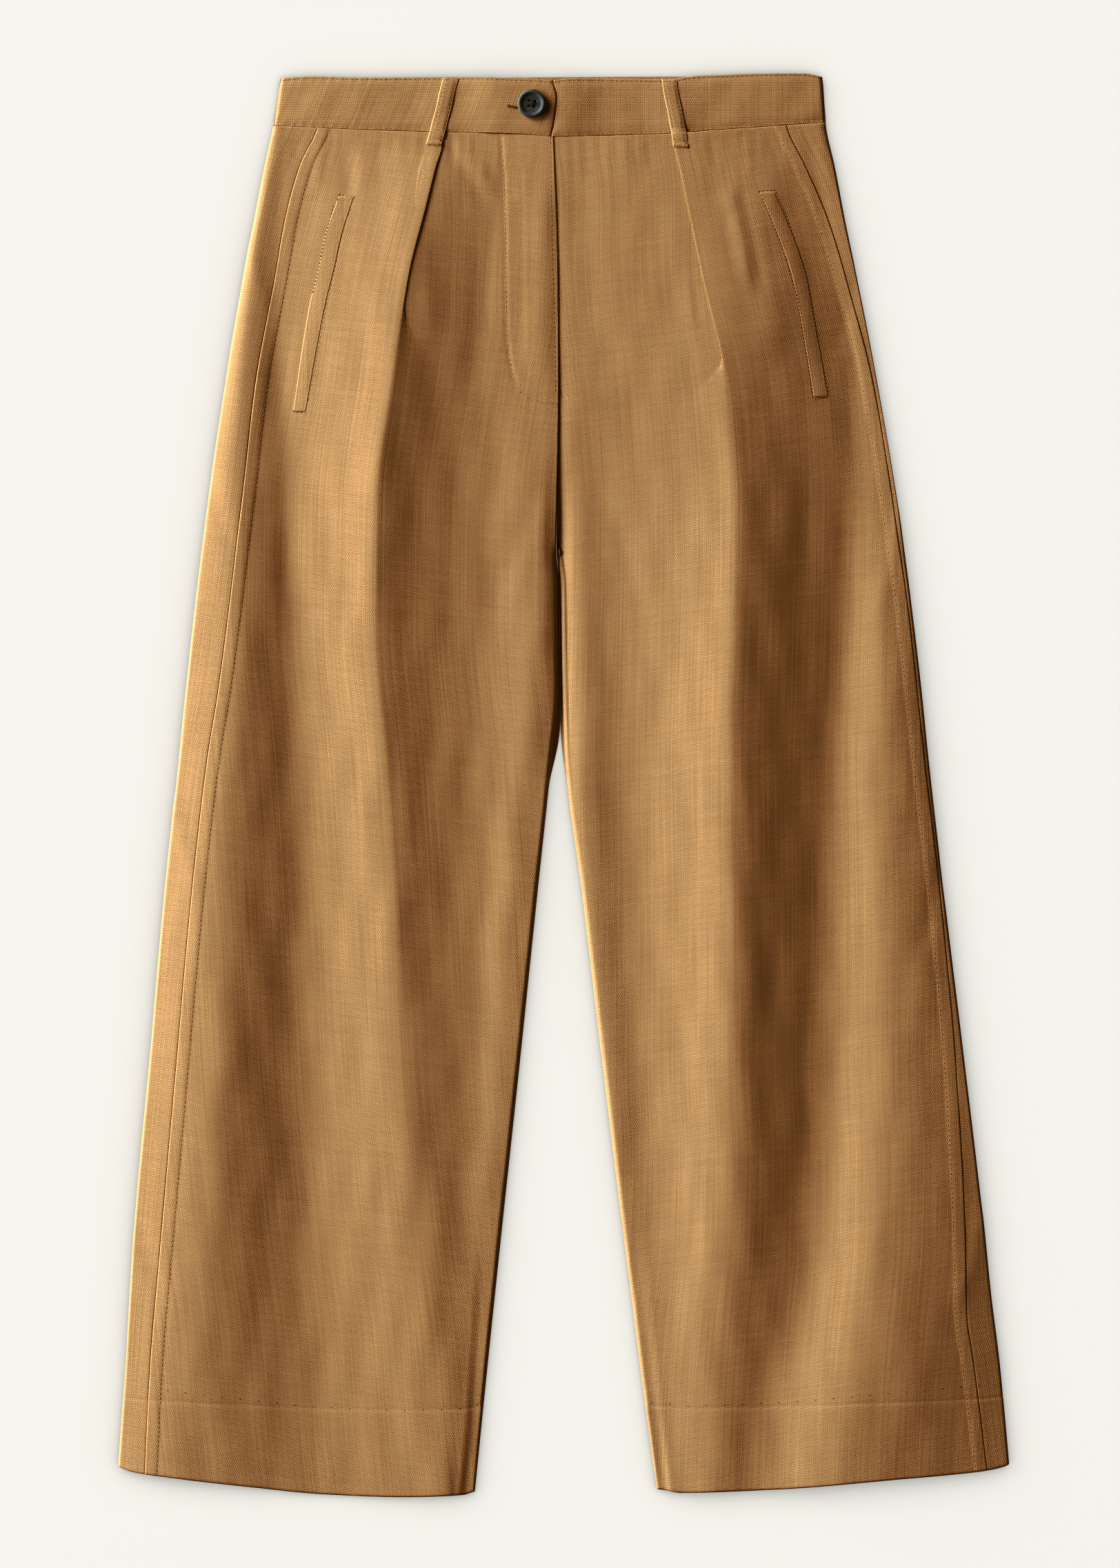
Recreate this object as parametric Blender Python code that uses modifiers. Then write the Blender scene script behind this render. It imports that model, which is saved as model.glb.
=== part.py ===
"""Barrel leg trousers laid flat with the front up: ten sewn pieces at their real size.

+X is the wearer's left, +Y points to the waist and +Z away from the surface that they lie on.
The cloth pieces are open sheets of points worked out from the tables below, and Solidify gives
them their wall. The tables and functions are in millimetres, and MM turns them into metres.
"""

import math
from collections import namedtuple

import bpy
from mathutils import Vector
from mathutils.bvhtree import BVHTree

MM = 0.001

# Driving sizes, in millimetres. The origin is the middle of the outline's box, on the surface.
WAIST_ABOVE_MIDDLE = 487.6
CENTRE_FROM_MIDDLE = 0.4
WAIST_TO_HEM = 978.0
WAIST_SEAM_DOWN = 37.0
CLOTH_WALL = 1.0
HEM_WALL = 1.8
HEM_DEPTH = 60.0
HEM_TURN = 6.0
BAND_WALL = 2.0
SEAM_GAP = 0.3
FLY_LAP = 1.9
FLY_UNDERLAP = 8.0
FLY_END = 226.0
FLY_FADE = 14.0
EDGE_ROLL = 4.0
INNER_ROLL = 2.4
INNER_STAND = 0.7
FOOT_CLEARANCE = 0.25
CROTCH_DOWN = 320.0
CROTCH_BLEND = 16.0

# How far the waist and hem curves bend the rows next to them, and how often the bend is refined.
WAIST_REACH = 70.0
HEM_REACH = 110.0
BEND_STEPS = 3

# Columns of points across a front panel, from the forward side seam to the inner edge. Both
# panels have one column this close to the seam, so that their edges face each other squarely.
SEAM_COLUMN = 0.4
SIDE_COLUMNS = 9
TURN_COLUMNS = 5
CENTRE_COLUMNS = 7
ROLL_COLUMNS = 4
# Columns across a back panel, from the inner edge round the side to the same seam.
FLOOR_COLUMNS = 4
UNDER_ROLL_COLUMNS = 4
WRAP_COLUMNS = 5

# Rows of points down each panel, as distances below the waist line.
ROWS = [WAIST_SEAM_DOWN, 45, 56, 72, 95, 120, 145, 165, 185, 200, 212, 226, 242, 275, 305, 320,
        328, 338, 350, 385, 430, 490, 560, 640, 720, 800, 860, 915, 950, WAIST_TO_HEM]

# A leg's outline: the folded outer edge, the side seam that lies forward of it on the front, and
# the inner edge, which is the centre front down to the crotch and the inseam below it. "across"
# distances are measured outwards from the middle of the garment, to that leg's own side.
Section = namedtuple("Section", "down edge seam inner")
RIGHT_SECTIONS = [
    Section(2, 195.4, 165.0, 6.9),
    Section(34, 200.3, 169.6, 7.1),
    Section(61, 206.2, 182.0, 6.3),
    Section(99, 213.3, 192.3, 4.7),
    Section(137, 220.9, 198.9, 3.9),
    Section(213, 233.7, 212.7, 3.5),
    Section(289, 244.9, 221.4, 4.8),
    Section(322, 248.9, 225.5, 5.6),
    Section(350, 252.4, 228.7, 4.4),
    Section(422, 260.3, 238.0, 4.3),
    Section(469, 265.0, 245.6, 8.5),
    Section(564, 275.5, 256.5, 18.5),
    Section(683, 286.0, 267.2, 30.9),
    Section(802, 296.9, 277.7, 43.7),
    Section(887, 302.0, 285.0, 52.6),
    Section(978, 308.6, 289.5, 61.8),
]
LEFT_SECTIONS = [
    Section(2, 177.8, 149.0, -6.9),
    Section(34, 180.3, 153.4, -7.1),
    Section(61, 186.2, 166.0, -6.3),
    Section(99, 193.4, 182.1, -4.7),
    Section(137, 201.4, 193.7, -3.9),
    Section(213, 216.0, 213.3, -3.5),
    Section(289, 228.9, 225.9, -4.8),
    Section(322, 233.6, 230.5, -5.2),
    Section(350, 237.4, 234.8, -2.6),
    Section(422, 246.0, 243.1, -1.2),
    Section(469, 250.8, 248.0, 0.5),
    Section(564, 261.7, 259.1, 12.4),
    Section(683, 276.2, 270.0, 26.6),
    Section(802, 290.2, 276.3, 41.3),
    Section(850, 295.4, 277.1, 47.5),
    Section(887, 300.0, 282.2, 52.1),
    Section(978, 308.2, 293.5, 64.5),
]

# The large folds of each front: lines of crests and valleys, from the outer edge inwards. The
# main crest starts as the folded edge of the pleat. Heights are of the cloth's outer face.
Fold = namedtuple("Fold", "down across height")
RIGHT_FOLDS = {
    "side_crest": [
        Fold(34, 196, 4.8), Fold(137, 214, 8.0), Fold(289, 227, 10.2), Fold(470, 233, 12.8),
        Fold(683, 242, 14.7), Fold(802, 251, 13.2), Fold(978, 270, 11.0),
    ],
    "side_valley": [
        Fold(34, 190, 4.7), Fold(137, 197, 6.7), Fold(289, 188, 5.4), Fold(470, 179, 4.4),
        Fold(683, 173, 3.8), Fold(802, 171, 4.0), Fold(978, 157, 5.0),
    ],
    "main_crest": [
        Fold(34, 83, 6.7), Fold(48, 84, 7.4), Fold(61, 88, 9.4), Fold(89, 95, 12.6),
        Fold(137, 107, 15.6), Fold(213, 118, 17.4), Fold(289, 128, 16.8), Fold(375, 130, 14.6),
        Fold(470, 123, 12.8), Fold(564, 116, 11.4), Fold(683, 111, 10.2), Fold(802, 98, 9.4),
        Fold(978, 80, 8.6),
    ],
    "inner_valley": [
        Fold(34, 36, 5.0), Fold(61, 34, 6.2), Fold(137, 30, 6.6), Fold(213, 46, 6.0),
        Fold(289, 54, 6.0), Fold(375, 50, 4.3), Fold(564, 58, 4.2), Fold(683, 59, 4.6),
        Fold(802, 66, 5.2), Fold(978, 71, 7.2),
    ],
    "inner_crest": [
        Fold(34, 14, 6.2), Fold(61, 14, 6.9), Fold(137, 12, 7.2), Fold(213, 13, 7.4),
        Fold(289, 17, 8.0), Fold(375, 18, 6.4), Fold(470, 30, 6.0), Fold(564, 36, 5.8),
        Fold(683, 44, 5.6), Fold(802, 54, 5.4), Fold(978, 67, 6.4),
    ],
}
LEFT_FOLDS = {
    "side_crest": [
        Fold(34, 175, 4.8), Fold(137, 195, 7.2), Fold(213, 209, 7.4), Fold(289, 215, 7.8),
        Fold(375, 221, 8.8), Fold(564, 224, 10.6), Fold(683, 231, 11.0), Fold(802, 222, 12.8),
        Fold(921, 200, 14.2), Fold(978, 193, 14.0),
    ],
    "side_valley": [
        Fold(34, 166, 4.7), Fold(137, 187, 7.0), Fold(213, 202, 7.0), Fold(289, 204, 6.8),
        Fold(375, 199, 6.4), Fold(470, 190, 6.0), Fold(683, 181, 5.4), Fold(802, 171, 6.8),
        Fold(861, 156, 7.8), Fold(921, 136, 7.8), Fold(978, 130, 7.8),
    ],
    "main_crest": [
        Fold(34, 75, 6.7), Fold(48, 76, 7.4), Fold(61, 79, 8.8), Fold(89, 85, 11.6),
        Fold(137, 95, 15.0), Fold(213, 112, 18.4), Fold(289, 119, 19.4), Fold(375, 118, 18.6),
        Fold(564, 118, 16.0), Fold(802, 118, 12.8), Fold(921, 110, 10.2), Fold(978, 108, 9.6),
    ],
    "inner_valley": [
        Fold(34, 42, 4.5), Fold(137, 30, 5.2), Fold(213, 23, 5.3), Fold(289, 23, 6.0),
        Fold(375, 33, 4.3), Fold(564, 44, 4.2), Fold(683, 51, 4.6), Fold(802, 60, 5.4),
        Fold(978, 77, 6.8),
    ],
    "inner_crest": [
        Fold(34, 11, 4.4), Fold(137, 11, 5.2), Fold(213, 9, 5.5), Fold(289, 9, 7.0),
        Fold(375, 11, 6.2), Fold(470, 14, 6.0), Fold(564, 20, 5.8), Fold(683, 31, 5.6),
        Fold(802, 47, 5.6), Fold(978, 70, 6.4),
    ],
}

# The pleat: how far its tuck runs back under the fold, the radii of its two turns, and the angle
# that each turns by. It is folded flat at the waist and opens into a plain soft fold below.
Tuck = namedtuple("Tuck", "down depth outer_turn inner_turn angle")
TUCK = [
    Tuck(34, 12.0, 1.6, 0.35, 180),
    Tuck(61, 12.0, 1.7, 0.6, 180),
    Tuck(99, 10.0, 2.1, 1.0, 180),
    Tuck(137, 7.0, 2.5, 1.3, 166),
    Tuck(165, 4.0, 2.8, 1.8, 125),
    Tuck(185, 3.4, 3.2, 2.5, 88),
    Tuck(213, 4.5, 5.0, 5.0, 58),
    Tuck(250, 6.5, 10.0, 12.0, 38),
    Tuck(300, 9.0, 18.0, 25.0, 25),
]
TUCK_OPENS = (208.0, 300.0)
FOLD_SET_BACK = 3.2
OPENED_REACH = 0.45
# The right front's main fold falls off faster next to its crest, down to these distances.
RIGHT_FALL_SKEW = 0.74
FALL_EVEN_DOWN = (400.0, 560.0)

# Heights of single lines down the garment: the middle of the rolled outer edge, and the edge of
# the right front at the centre front, which laps over the left front as far as the fly goes.
Height = namedtuple("Height", "down height")
EDGE_MIDDLE = [Height(34, 2.5), Height(61, 3.0), Height(137, 4.0), Height(289, 4.5),
               Height(978, 4.5)]
CENTRE_FRONT = [Height(34, 6.2), Height(61, 6.6), Height(137, 7.0), Height(213, 7.0),
                Height(289, 5.6), Height(322, 4.6)]
# The order of the fold lines, from the outer edge inwards.
MAIN_CREST = 2
INNER_VALLEY = 3

# Curves along the waist seam, the band's top edges and the hems: distance down at each X.
Edge = namedtuple("Edge", "x down")
FRONT_WAIST = [Edge(-201, 33.6), Edge(-110, 37.4), Edge(-30, 39.4), Edge(-8, 41.0),
               Edge(60, 39.6), Edge(110, 36.2), Edge(181, 31.4)]
BACK_WAIST = [Edge(-201, 33.6), Edge(-10, 31.0), Edge(181, 31.4)]
FRONT_TOP = [Edge(-196, 1.0), Edge(-174, -0.4), Edge(-140, 0.4), Edge(-66, 0.0), Edge(-20, 1.4),
             Edge(-8, 2.2), Edge(6, 1.0), Edge(70, 1.7), Edge(92, -0.8), Edge(165, -2.8),
             Edge(178, 0.0)]
BACK_TOP = [Edge(-196, 1.0), Edge(-20, 0.2), Edge(60, -0.3), Edge(100, -0.4), Edge(178, 0.0)]
HEM = [Edge(-308, 956.4), Edge(-298, 960.4), Edge(-270, 964.7), Edge(-213, 971.4),
       Edge(-165, 976.1), Edge(-110, 978.0), Edge(-70, 976.6), Edge(-60, 974.0),
       Edge(64, 972.4), Edge(80, 975.0), Edge(143, 972.8), Edge(229, 965.7), Edge(286, 960.4),
       Edge(300, 957.8), Edge(309, 954.6)]

# The waistband's ring.
BAND_HEIGHT = 5.0
BAND_LAP_HEIGHT = 6.7
BAND_UNDERLAP_HEIGHT = 4.3
BAND_UNDERLAP_END = -39.0
BAND_LAP_RISE = (-78.0, -46.0)
BAND_UNDERLAP_RISE = (0.0, 30.0)
BAND_PLEAT_BUMP = 1.0
BAND_PLEAT_SPREAD = 15.0
BAND_BUMP_FADE = 0.6
BAND_ROLL = 2.5
BAND_RUN_COLUMNS = 14
BAND_BACK_COLUMNS = 5
BAND_ROLL_COLUMNS = 6
BAND_ROWS = 3

# Height from which a ray looks down for the top of the cloth.
RAY_START = 100.0

# The belt loops, from the top edge of the band to the tack over the pleat.
LOOP_WIDTH = 11.0
LOOP_WALL = 1.6
LOOP_BOW = 1.4
LOOP_ROWS = 12
LOOP_LIFT = 0.4
# Each point of a loop clears the cloth this far up and down, and this far to both sides.
LOOP_CLEARS_DOWN = 7.0
LOOP_CLEARS_ACROSS = 6.05
LOOP_SAMPLES = 8
Loop = namedtuple("Loop", "name top_x top_down bottom_x bottom_down")
LOOPS = [
    Loop("belt_loop_right", -77.7, 0.9, -89.5, 47.5),
    Loop("belt_loop_left", 72.4, 1.9, 80.8, 49.0),
]

# The slanting pocket welts: both long edges, outwards from the middle.
WELT_WALL = 1.0
WELT_LIFT = 0.4
WELT_ROWS = 12
WELT_COLUMNS = 3
Welt = namedtuple("Welt", "down outer inner")
RIGHT_WELT = [Welt(82, 155.0, 144.4), Welt(110, 164.8, 153.2), Welt(131, 168.8, 157.8),
              Welt(157, 175.3, 164.2), Welt(231, 186.7, 178.0)]
LEFT_WELT = [Welt(79, 144.4, 134.4), Welt(103, 155.0, 145.0), Welt(137, 167.0, 157.0),
             Welt(165, 172.2, 162.6), Welt(221, 181.9, 172.0)]

# The button: a turned disc with a raised rim and four holes.
BUTTON_DIAMETER = 19.6
BUTTON_X = -22.3
BUTTON_DOWN = 18.5
BUTTON_HEIGHT = 3.8
BUTTON_HOLE_DIAMETER = 2.0
BUTTON_HOLE_SPACING = 3.6
BUTTON_HOLE_SEGMENTS = 12
BUTTON_TURN = -8.0
BUTTON_SEGMENTS = 32
# Its profile from the middle of the top down its outer side, as shares of radius and height.
Profile = namedtuple("Profile", "radius height")
BUTTON_PROFILE = [Profile(0.0, 0.62), Profile(0.56, 0.66), Profile(0.70, 0.93), Profile(0.80, 1.0),
                  Profile(0.92, 0.90), Profile(1.0, 0.62), Profile(0.98, 0.38),
                  Profile(0.80, 0.06), Profile(0.66, 0.0), Profile(0.0, 0.0)]

# Finishes: colour, roughness.
Finish = namedtuple("Finish", "red green blue roughness")
CLOTH_FINISH = Finish(0.43, 0.23, 0.10, 0.88)
BAND_FINISH = Finish(0.42, 0.22, 0.095, 0.88)
TRIM_FINISH = Finish(0.40, 0.21, 0.09, 0.88)
BUTTON_FINISH = Finish(0.045, 0.05, 0.05, 0.45)


def curve_through(stations, values):
    """A smooth curve through the values that never overshoots them, as a function."""
    slopes = []
    for first, second in zip(range(len(stations) - 1), range(1, len(stations))):
        slopes.append((values[second] - values[first]) / (stations[second] - stations[first]))
    tangents = [slopes[0]]
    for before, after in zip(slopes, slopes[1:]):
        same_way = before * after > 0
        tangents.append(2 * before * after / (before + after) if same_way else 0.0)
    tangents.append(slopes[-1])

    def value(at):
        if at <= stations[0]:
            return values[0] + tangents[0] * (at - stations[0])
        if at >= stations[-1]:
            return values[-1] + tangents[-1] * (at - stations[-1])
        index = max(i for i, station in enumerate(stations) if station <= at)
        step = stations[index + 1] - stations[index]
        t = (at - stations[index]) / step
        rise = t * t * (3 - 2 * t)
        lead = t * (1 - t) * (1 - t) * step * tangents[index]
        trail = -t * t * (1 - t) * step * tangents[index + 1]
        return values[index] * (1 - rise) + values[index + 1] * rise + lead + trail

    return value


def column_of(rows, station, name):
    """One named column of a table as a smooth function of another."""
    return curve_through([getattr(row, station) for row in rows],
                         [getattr(row, name) for row in rows])


def mix(first, second, share):
    return first + (second - first) * share


def ease(share):
    share = min(max(share, 0.0), 1.0)
    return share * share * (3 - 2 * share)


def between(low, high, value):
    """0 below low, 1 above high, eased in between."""
    return ease((value - low) / (high - low))


def rolled_rise(distance, reach, height, radius):
    """Rise from an edge that turns over a radius and then climbs softly to a crest."""
    radius = min(radius, height)
    inside = min(distance, radius)
    turn = math.sqrt(max(radius ** 2 - (radius - inside) ** 2, 0.0))
    climb = (height - radius) * math.sin(math.pi / 2 * min(distance / reach, 1.0))
    return turn + climb


class Leg:
    """One side of the trousers, with its outline and folds as functions of the distance down."""

    def __init__(self, sign, sections, folds, fall_skew):
        self.sign = sign
        self.fall_skew = fall_skew
        self.edge = column_of(sections, "down", "edge")
        self.seam = column_of(sections, "down", "seam")
        self.inner = column_of(sections, "down", "inner")
        self.folds = []
        for rows in folds.values():
            self.folds.append((column_of(rows, "down", "across"), column_of(rows, "down", "height")))

    def fold_points(self, down):
        return [(across(down), height(down)) for across, height in self.folds]


edge_middle = column_of(EDGE_MIDDLE, "down", "height")
centre_front = column_of(CENTRE_FRONT, "down", "height")
front_waist = column_of(FRONT_WAIST, "x", "down")
back_waist = column_of(BACK_WAIST, "x", "down")
front_top = column_of(FRONT_TOP, "x", "down")
back_top = column_of(BACK_TOP, "x", "down")
hem_line = column_of(HEM, "x", "down")
tuck_depth = column_of(TUCK, "down", "depth")
tuck_outer_turn = column_of(TUCK, "down", "outer_turn")
tuck_inner_turn = column_of(TUCK, "down", "inner_turn")
tuck_angle = column_of(TUCK, "down", "angle")

right_leg = Leg(-1, RIGHT_SECTIONS, RIGHT_FOLDS, RIGHT_FALL_SKEW)
left_leg = Leg(1, LEFT_SECTIONS, LEFT_FOLDS, 1.0)


def wall_at(down):
    """The cloth is double in the hem."""
    hem_top = WAIST_TO_HEM - HEM_DEPTH
    return mix(CLOTH_WALL, HEM_WALL, between(hem_top - HEM_TURN, hem_top, down))


def underlap_at(down):
    """How far the left front runs on under the right front along the fly."""
    return FLY_UNDERLAP * (1 - between(FLY_END - FLY_FADE, FLY_END, down))


def inner_edge(leg, down):
    """Where a front ends at the inner side, half a seam gap off the centre front or inseam."""
    if leg is left_leg:
        return leg.inner(down) + SEAM_GAP / 2 - underlap_at(down)
    return leg.inner(down) + SEAM_GAP / 2


def centre_front_height(leg, down):
    if leg is left_leg:
        lap = FLY_LAP * (1 - between(FLY_END, FLY_END + FLY_FADE, down))
        return centre_front(down) - lap
    return centre_front(down)


def foot_height(down):
    """Height of a front's lower edge along the inseam, just above the back."""
    return wall_at(down) + SEAM_GAP + FOOT_CLEARANCE


def leg_parted(down):
    """0 where the two fronts meet at the centre seam, 1 where each leg stands alone."""
    return between(CROTCH_DOWN, CROTCH_DOWN + CROTCH_BLEND, down)


def front_height(leg, down, across):
    """Height of the cloth's outer face, leaving out the tuck under the pleat."""
    folds = leg.fold_points(down)
    first_across, first_height = folds[0]
    if across >= first_across:
        middle = edge_middle(down)
        distance = leg.edge(down) - across
        reach = leg.edge(down) - first_across
        return middle + rolled_rise(max(distance, 0.0), reach, first_height - middle, EDGE_ROLL)
    for index, (inner, inner_height) in enumerate(folds[1:]):
        outer, outer_height = folds[index]
        if across >= inner:
            share = (outer - across) / (outer - inner)
            if index == MAIN_CREST:
                share **= mix(leg.fall_skew, 1.0, between(*FALL_EVEN_DOWN, down))
            return mix(outer_height, inner_height, ease(share))
    last_across, last_height = folds[-1]
    edge = inner_edge(leg, down)
    distance = max(across - edge, 0.0)
    reach = last_across - edge
    foot = foot_height(down) + INNER_STAND
    leg_side = foot + rolled_rise(distance, reach, last_height - foot, INNER_ROLL)
    seam_side = mix(centre_front_height(leg, down), last_height, ease(distance / reach))
    return mix(seam_side, leg_side, leg_parted(down))


def tuck_points(start, crest, down):
    """Through the pleat: over its folded edge, back under it, and round to the layer below."""
    depth = tuck_depth(down)
    outer_turn = tuck_outer_turn(down)
    inner_turn = tuck_inner_turn(down)
    angle = math.radians(tuck_angle(down))
    points = []
    for step in range(TURN_COLUMNS + 1):
        turned = angle * step / TURN_COLUMNS
        across = start - outer_turn * math.sin(turned)
        points.append((across, crest - outer_turn * (1 - math.cos(turned))))
    run_across = points[-1][0] - depth * math.cos(angle)
    run_height = points[-1][1] - depth * math.sin(angle)
    for step in range(TURN_COLUMNS + 1):
        left = angle * (1 - step / TURN_COLUMNS)
        across = run_across - inner_turn * (math.sin(angle) - math.sin(left))
        points.append((across, run_height - inner_turn * (math.cos(left) - math.cos(angle))))
    return points


def front_path(leg, down):
    """Across a front: from the side seam over the folds and through the pleat to the inner edge."""
    opened = between(*TUCK_OPENS, down)
    pleated_down = min(down, TUCK[-1].down)
    fold_edge, crest = leg.fold_points(down)[MAIN_CREST]
    valley_across, valley_height = leg.fold_points(down)[INNER_VALLEY]
    seam = leg.seam(down) - SEAM_GAP / 2
    turn_start = fold_edge + min(tuck_outer_turn(pleated_down), FOLD_SET_BACK)
    path = [(seam, front_height(leg, down, seam))]
    for column in range(SIDE_COLUMNS):
        across = mix(seam - SEAM_COLUMN, turn_start, column / SIDE_COLUMNS)
        path.append((across, front_height(leg, down, across)))
    tucked = tuck_points(turn_start, crest, pleated_down)
    tuck_end, tuck_height = tucked[-1]
    reach = OPENED_REACH * (turn_start - valley_across)
    for index, (across, height) in enumerate(tucked):
        plain_across = turn_start - reach * index / (len(tucked) - 1)
        plain_height = front_height(leg, down, plain_across)
        path.append((mix(across, plain_across, opened), mix(height, plain_height, opened)))
    edge = inner_edge(leg, down)
    for column in range(1, CENTRE_COLUMNS + 1):
        share = column / CENTRE_COLUMNS
        across = mix(tuck_end, edge + INNER_ROLL, share)
        height = front_height(leg, down, across)
        if across > valley_across:
            climb = (across - valley_across) / (tuck_end - valley_across)
            height = mix(valley_height, tuck_height, ease(climb))
        plain_across = mix(turn_start - reach, edge + INNER_ROLL, share)
        plain_height = front_height(leg, down, plain_across)
        path.append((mix(across, plain_across, opened), mix(height, plain_height, opened)))
    parted = leg_parted(down)
    for column in range(1, ROLL_COLUMNS + 1):
        angle = math.pi / 2 * column / ROLL_COLUMNS
        inside = mix(INNER_STAND, 0.0, parted)
        across = edge + inside + (INNER_ROLL - inside) * (1 - math.sin(angle))
        path.append((across, front_height(leg, down, across)))
    path.append((edge, mix(centre_front_height(leg, down), foot_height(down), parted)))
    return path


def back_path(leg, down):
    """Across a back: flat from the inner edge, then round the outer edge up to the side seam."""
    middle = edge_middle(down)
    edge = leg.edge(down)
    start = leg.inner(down) + SEAM_GAP / 2
    path = []
    for column in range(FLOOR_COLUMNS):
        path.append((mix(start, edge - middle, column / FLOOR_COLUMNS), 0.0))
    for column in range(UNDER_ROLL_COLUMNS):
        angle = math.pi / 2 * column / UNDER_ROLL_COLUMNS
        across = edge - middle + middle * math.sin(angle)
        path.append((across, middle - middle * math.cos(angle)))
    end = leg.seam(down) + SEAM_GAP / 2
    for column in range(WRAP_COLUMNS + 1):
        share = 1 - math.cos(math.pi / 2 * column / WRAP_COLUMNS)
        across = mix(edge, end + SEAM_COLUMN, share)
        path.append((across, front_height(leg, down, across)))
    path.append((end, front_height(leg, down, end)))
    return path


def waist_seam(x, height, middle):
    """Distance down of the waist seam: the back's line on the floor, the front's on the top."""
    return mix(back_waist(x), front_waist(x), min(height / (2 * middle), 1.0))


def lay_point(leg, path, column, row):
    """A point of a panel in metres, on a row that bends with the waist seam and the hem."""
    down = row
    for _ in range(BEND_STEPS):
        across, height = path(leg, down)[column]
        x = leg.sign * across
        seam = waist_seam(x, height, edge_middle(WAIST_SEAM_DOWN)) + SEAM_GAP / 2
        if path is front_path:
            seam = front_waist(x) + SEAM_GAP / 2
        waist_bend = seam - WAIST_SEAM_DOWN
        waist_share = 1 - between(WAIST_SEAM_DOWN, WAIST_SEAM_DOWN + WAIST_REACH, row)
        hem_share = between(WAIST_TO_HEM - HEM_REACH, WAIST_TO_HEM, row)
        down = row + waist_bend * waist_share + (hem_line(x) - WAIST_TO_HEM) * hem_share
    return place(x, down, height)


def place(x, down, height):
    """A point in metres, from its distance off the centre line, its place down and its height."""
    return Vector((x + CENTRE_FROM_MIDDLE, WAIST_ABOVE_MIDDLE - down, height)) * MM


def panel_rows(leg, path):
    columns = len(path(leg, ROWS[0]))
    rows = []
    for row in ROWS:
        rows.append([lay_point(leg, path, column, row) for column in range(columns)])
    return rows


def make_material(name, finish):
    material = bpy.data.materials.new(name)
    material.use_nodes = True
    shader = material.node_tree.nodes["Principled BSDF"]
    shader.inputs["Base Color"].default_value = (finish.red, finish.green, finish.blue, 1.0)
    shader.inputs["Roughness"].default_value = finish.roughness
    material.diffuse_color = (finish.red, finish.green, finish.blue, 1.0)
    return material


def sheet_mesh(name, rows, rightwards):
    """An open sheet through rows of points, its faces turned to the cloth's outer side.

    rightwards says that the points of a row run towards +X along the top of the garment.
    """
    points = [point for row in rows for point in row]
    width = len(rows[0])
    faces = []
    for row in range(len(rows) - 1):
        for column in range(width - 1):
            corner = row * width + column
            face = [corner, corner + width, corner + width + 1, corner + 1]
            faces.append(face if rightwards else face[::-1])
    mesh = bpy.data.meshes.new(name)
    mesh.from_pydata(points, [], faces)
    mesh.shade_smooth()
    return mesh


def add_sheet(name, rows, rightwards, wall, finish, hem_wall=None, outwards=False):
    """A cloth piece: its outer face as a sheet, and its wall grown inwards, or outwards."""
    piece = bpy.data.objects.new(name, sheet_mesh(name, rows, rightwards))
    collection.objects.link(piece)
    piece.data.materials.append(make_material(name, finish))
    solidify = piece.modifiers.new("wall", "SOLIDIFY")
    solidify.thickness = (hem_wall or wall) * MM
    solidify.offset = 1.0 if outwards else -1.0
    solidify.use_quality_normals = True
    if hem_wall:
        hem = piece.vertex_groups.new(name="hem")
        width = len(rows[0])
        for index, row in enumerate(ROWS):
            share = (wall_at(row) - CLOTH_WALL) / (HEM_WALL - CLOTH_WALL)
            hem.add(list(range(index * width, (index + 1) * width)), share, "REPLACE")
        solidify.vertex_group = hem.name
        solidify.thickness_vertex_group = wall / hem_wall
    return piece


def surface_above(pieces):
    """A function that gives the top of the given sheets, in millimetres, at X and down."""
    trees = []
    for piece in pieces:
        points = [vertex.co for vertex in piece.data.vertices]
        trees.append(BVHTree.FromPolygons(points, [face.vertices for face in piece.data.polygons]))

    def height(x, down):
        start = place(x, down, RAY_START)
        hits = [tree.ray_cast(start, Vector((0, 0, -1))) for tree in trees]
        return max([hit[0].z / MM for hit in hits if hit[0]] + [0.0])

    return height


def band_bump(x, share):
    """How far the pleats raise the band at X, from its lower edge (share 0) to its top."""
    bumps = 0.0
    for leg in (right_leg, left_leg):
        pleat_x = leg.sign * leg.fold_points(WAIST_SEAM_DOWN)[MAIN_CREST][0]
        bumps += math.exp(-((x - pleat_x) / BAND_PLEAT_SPREAD) ** 2)
    return BAND_PLEAT_BUMP * bumps * (1 - BAND_BUMP_FADE * share)


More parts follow.
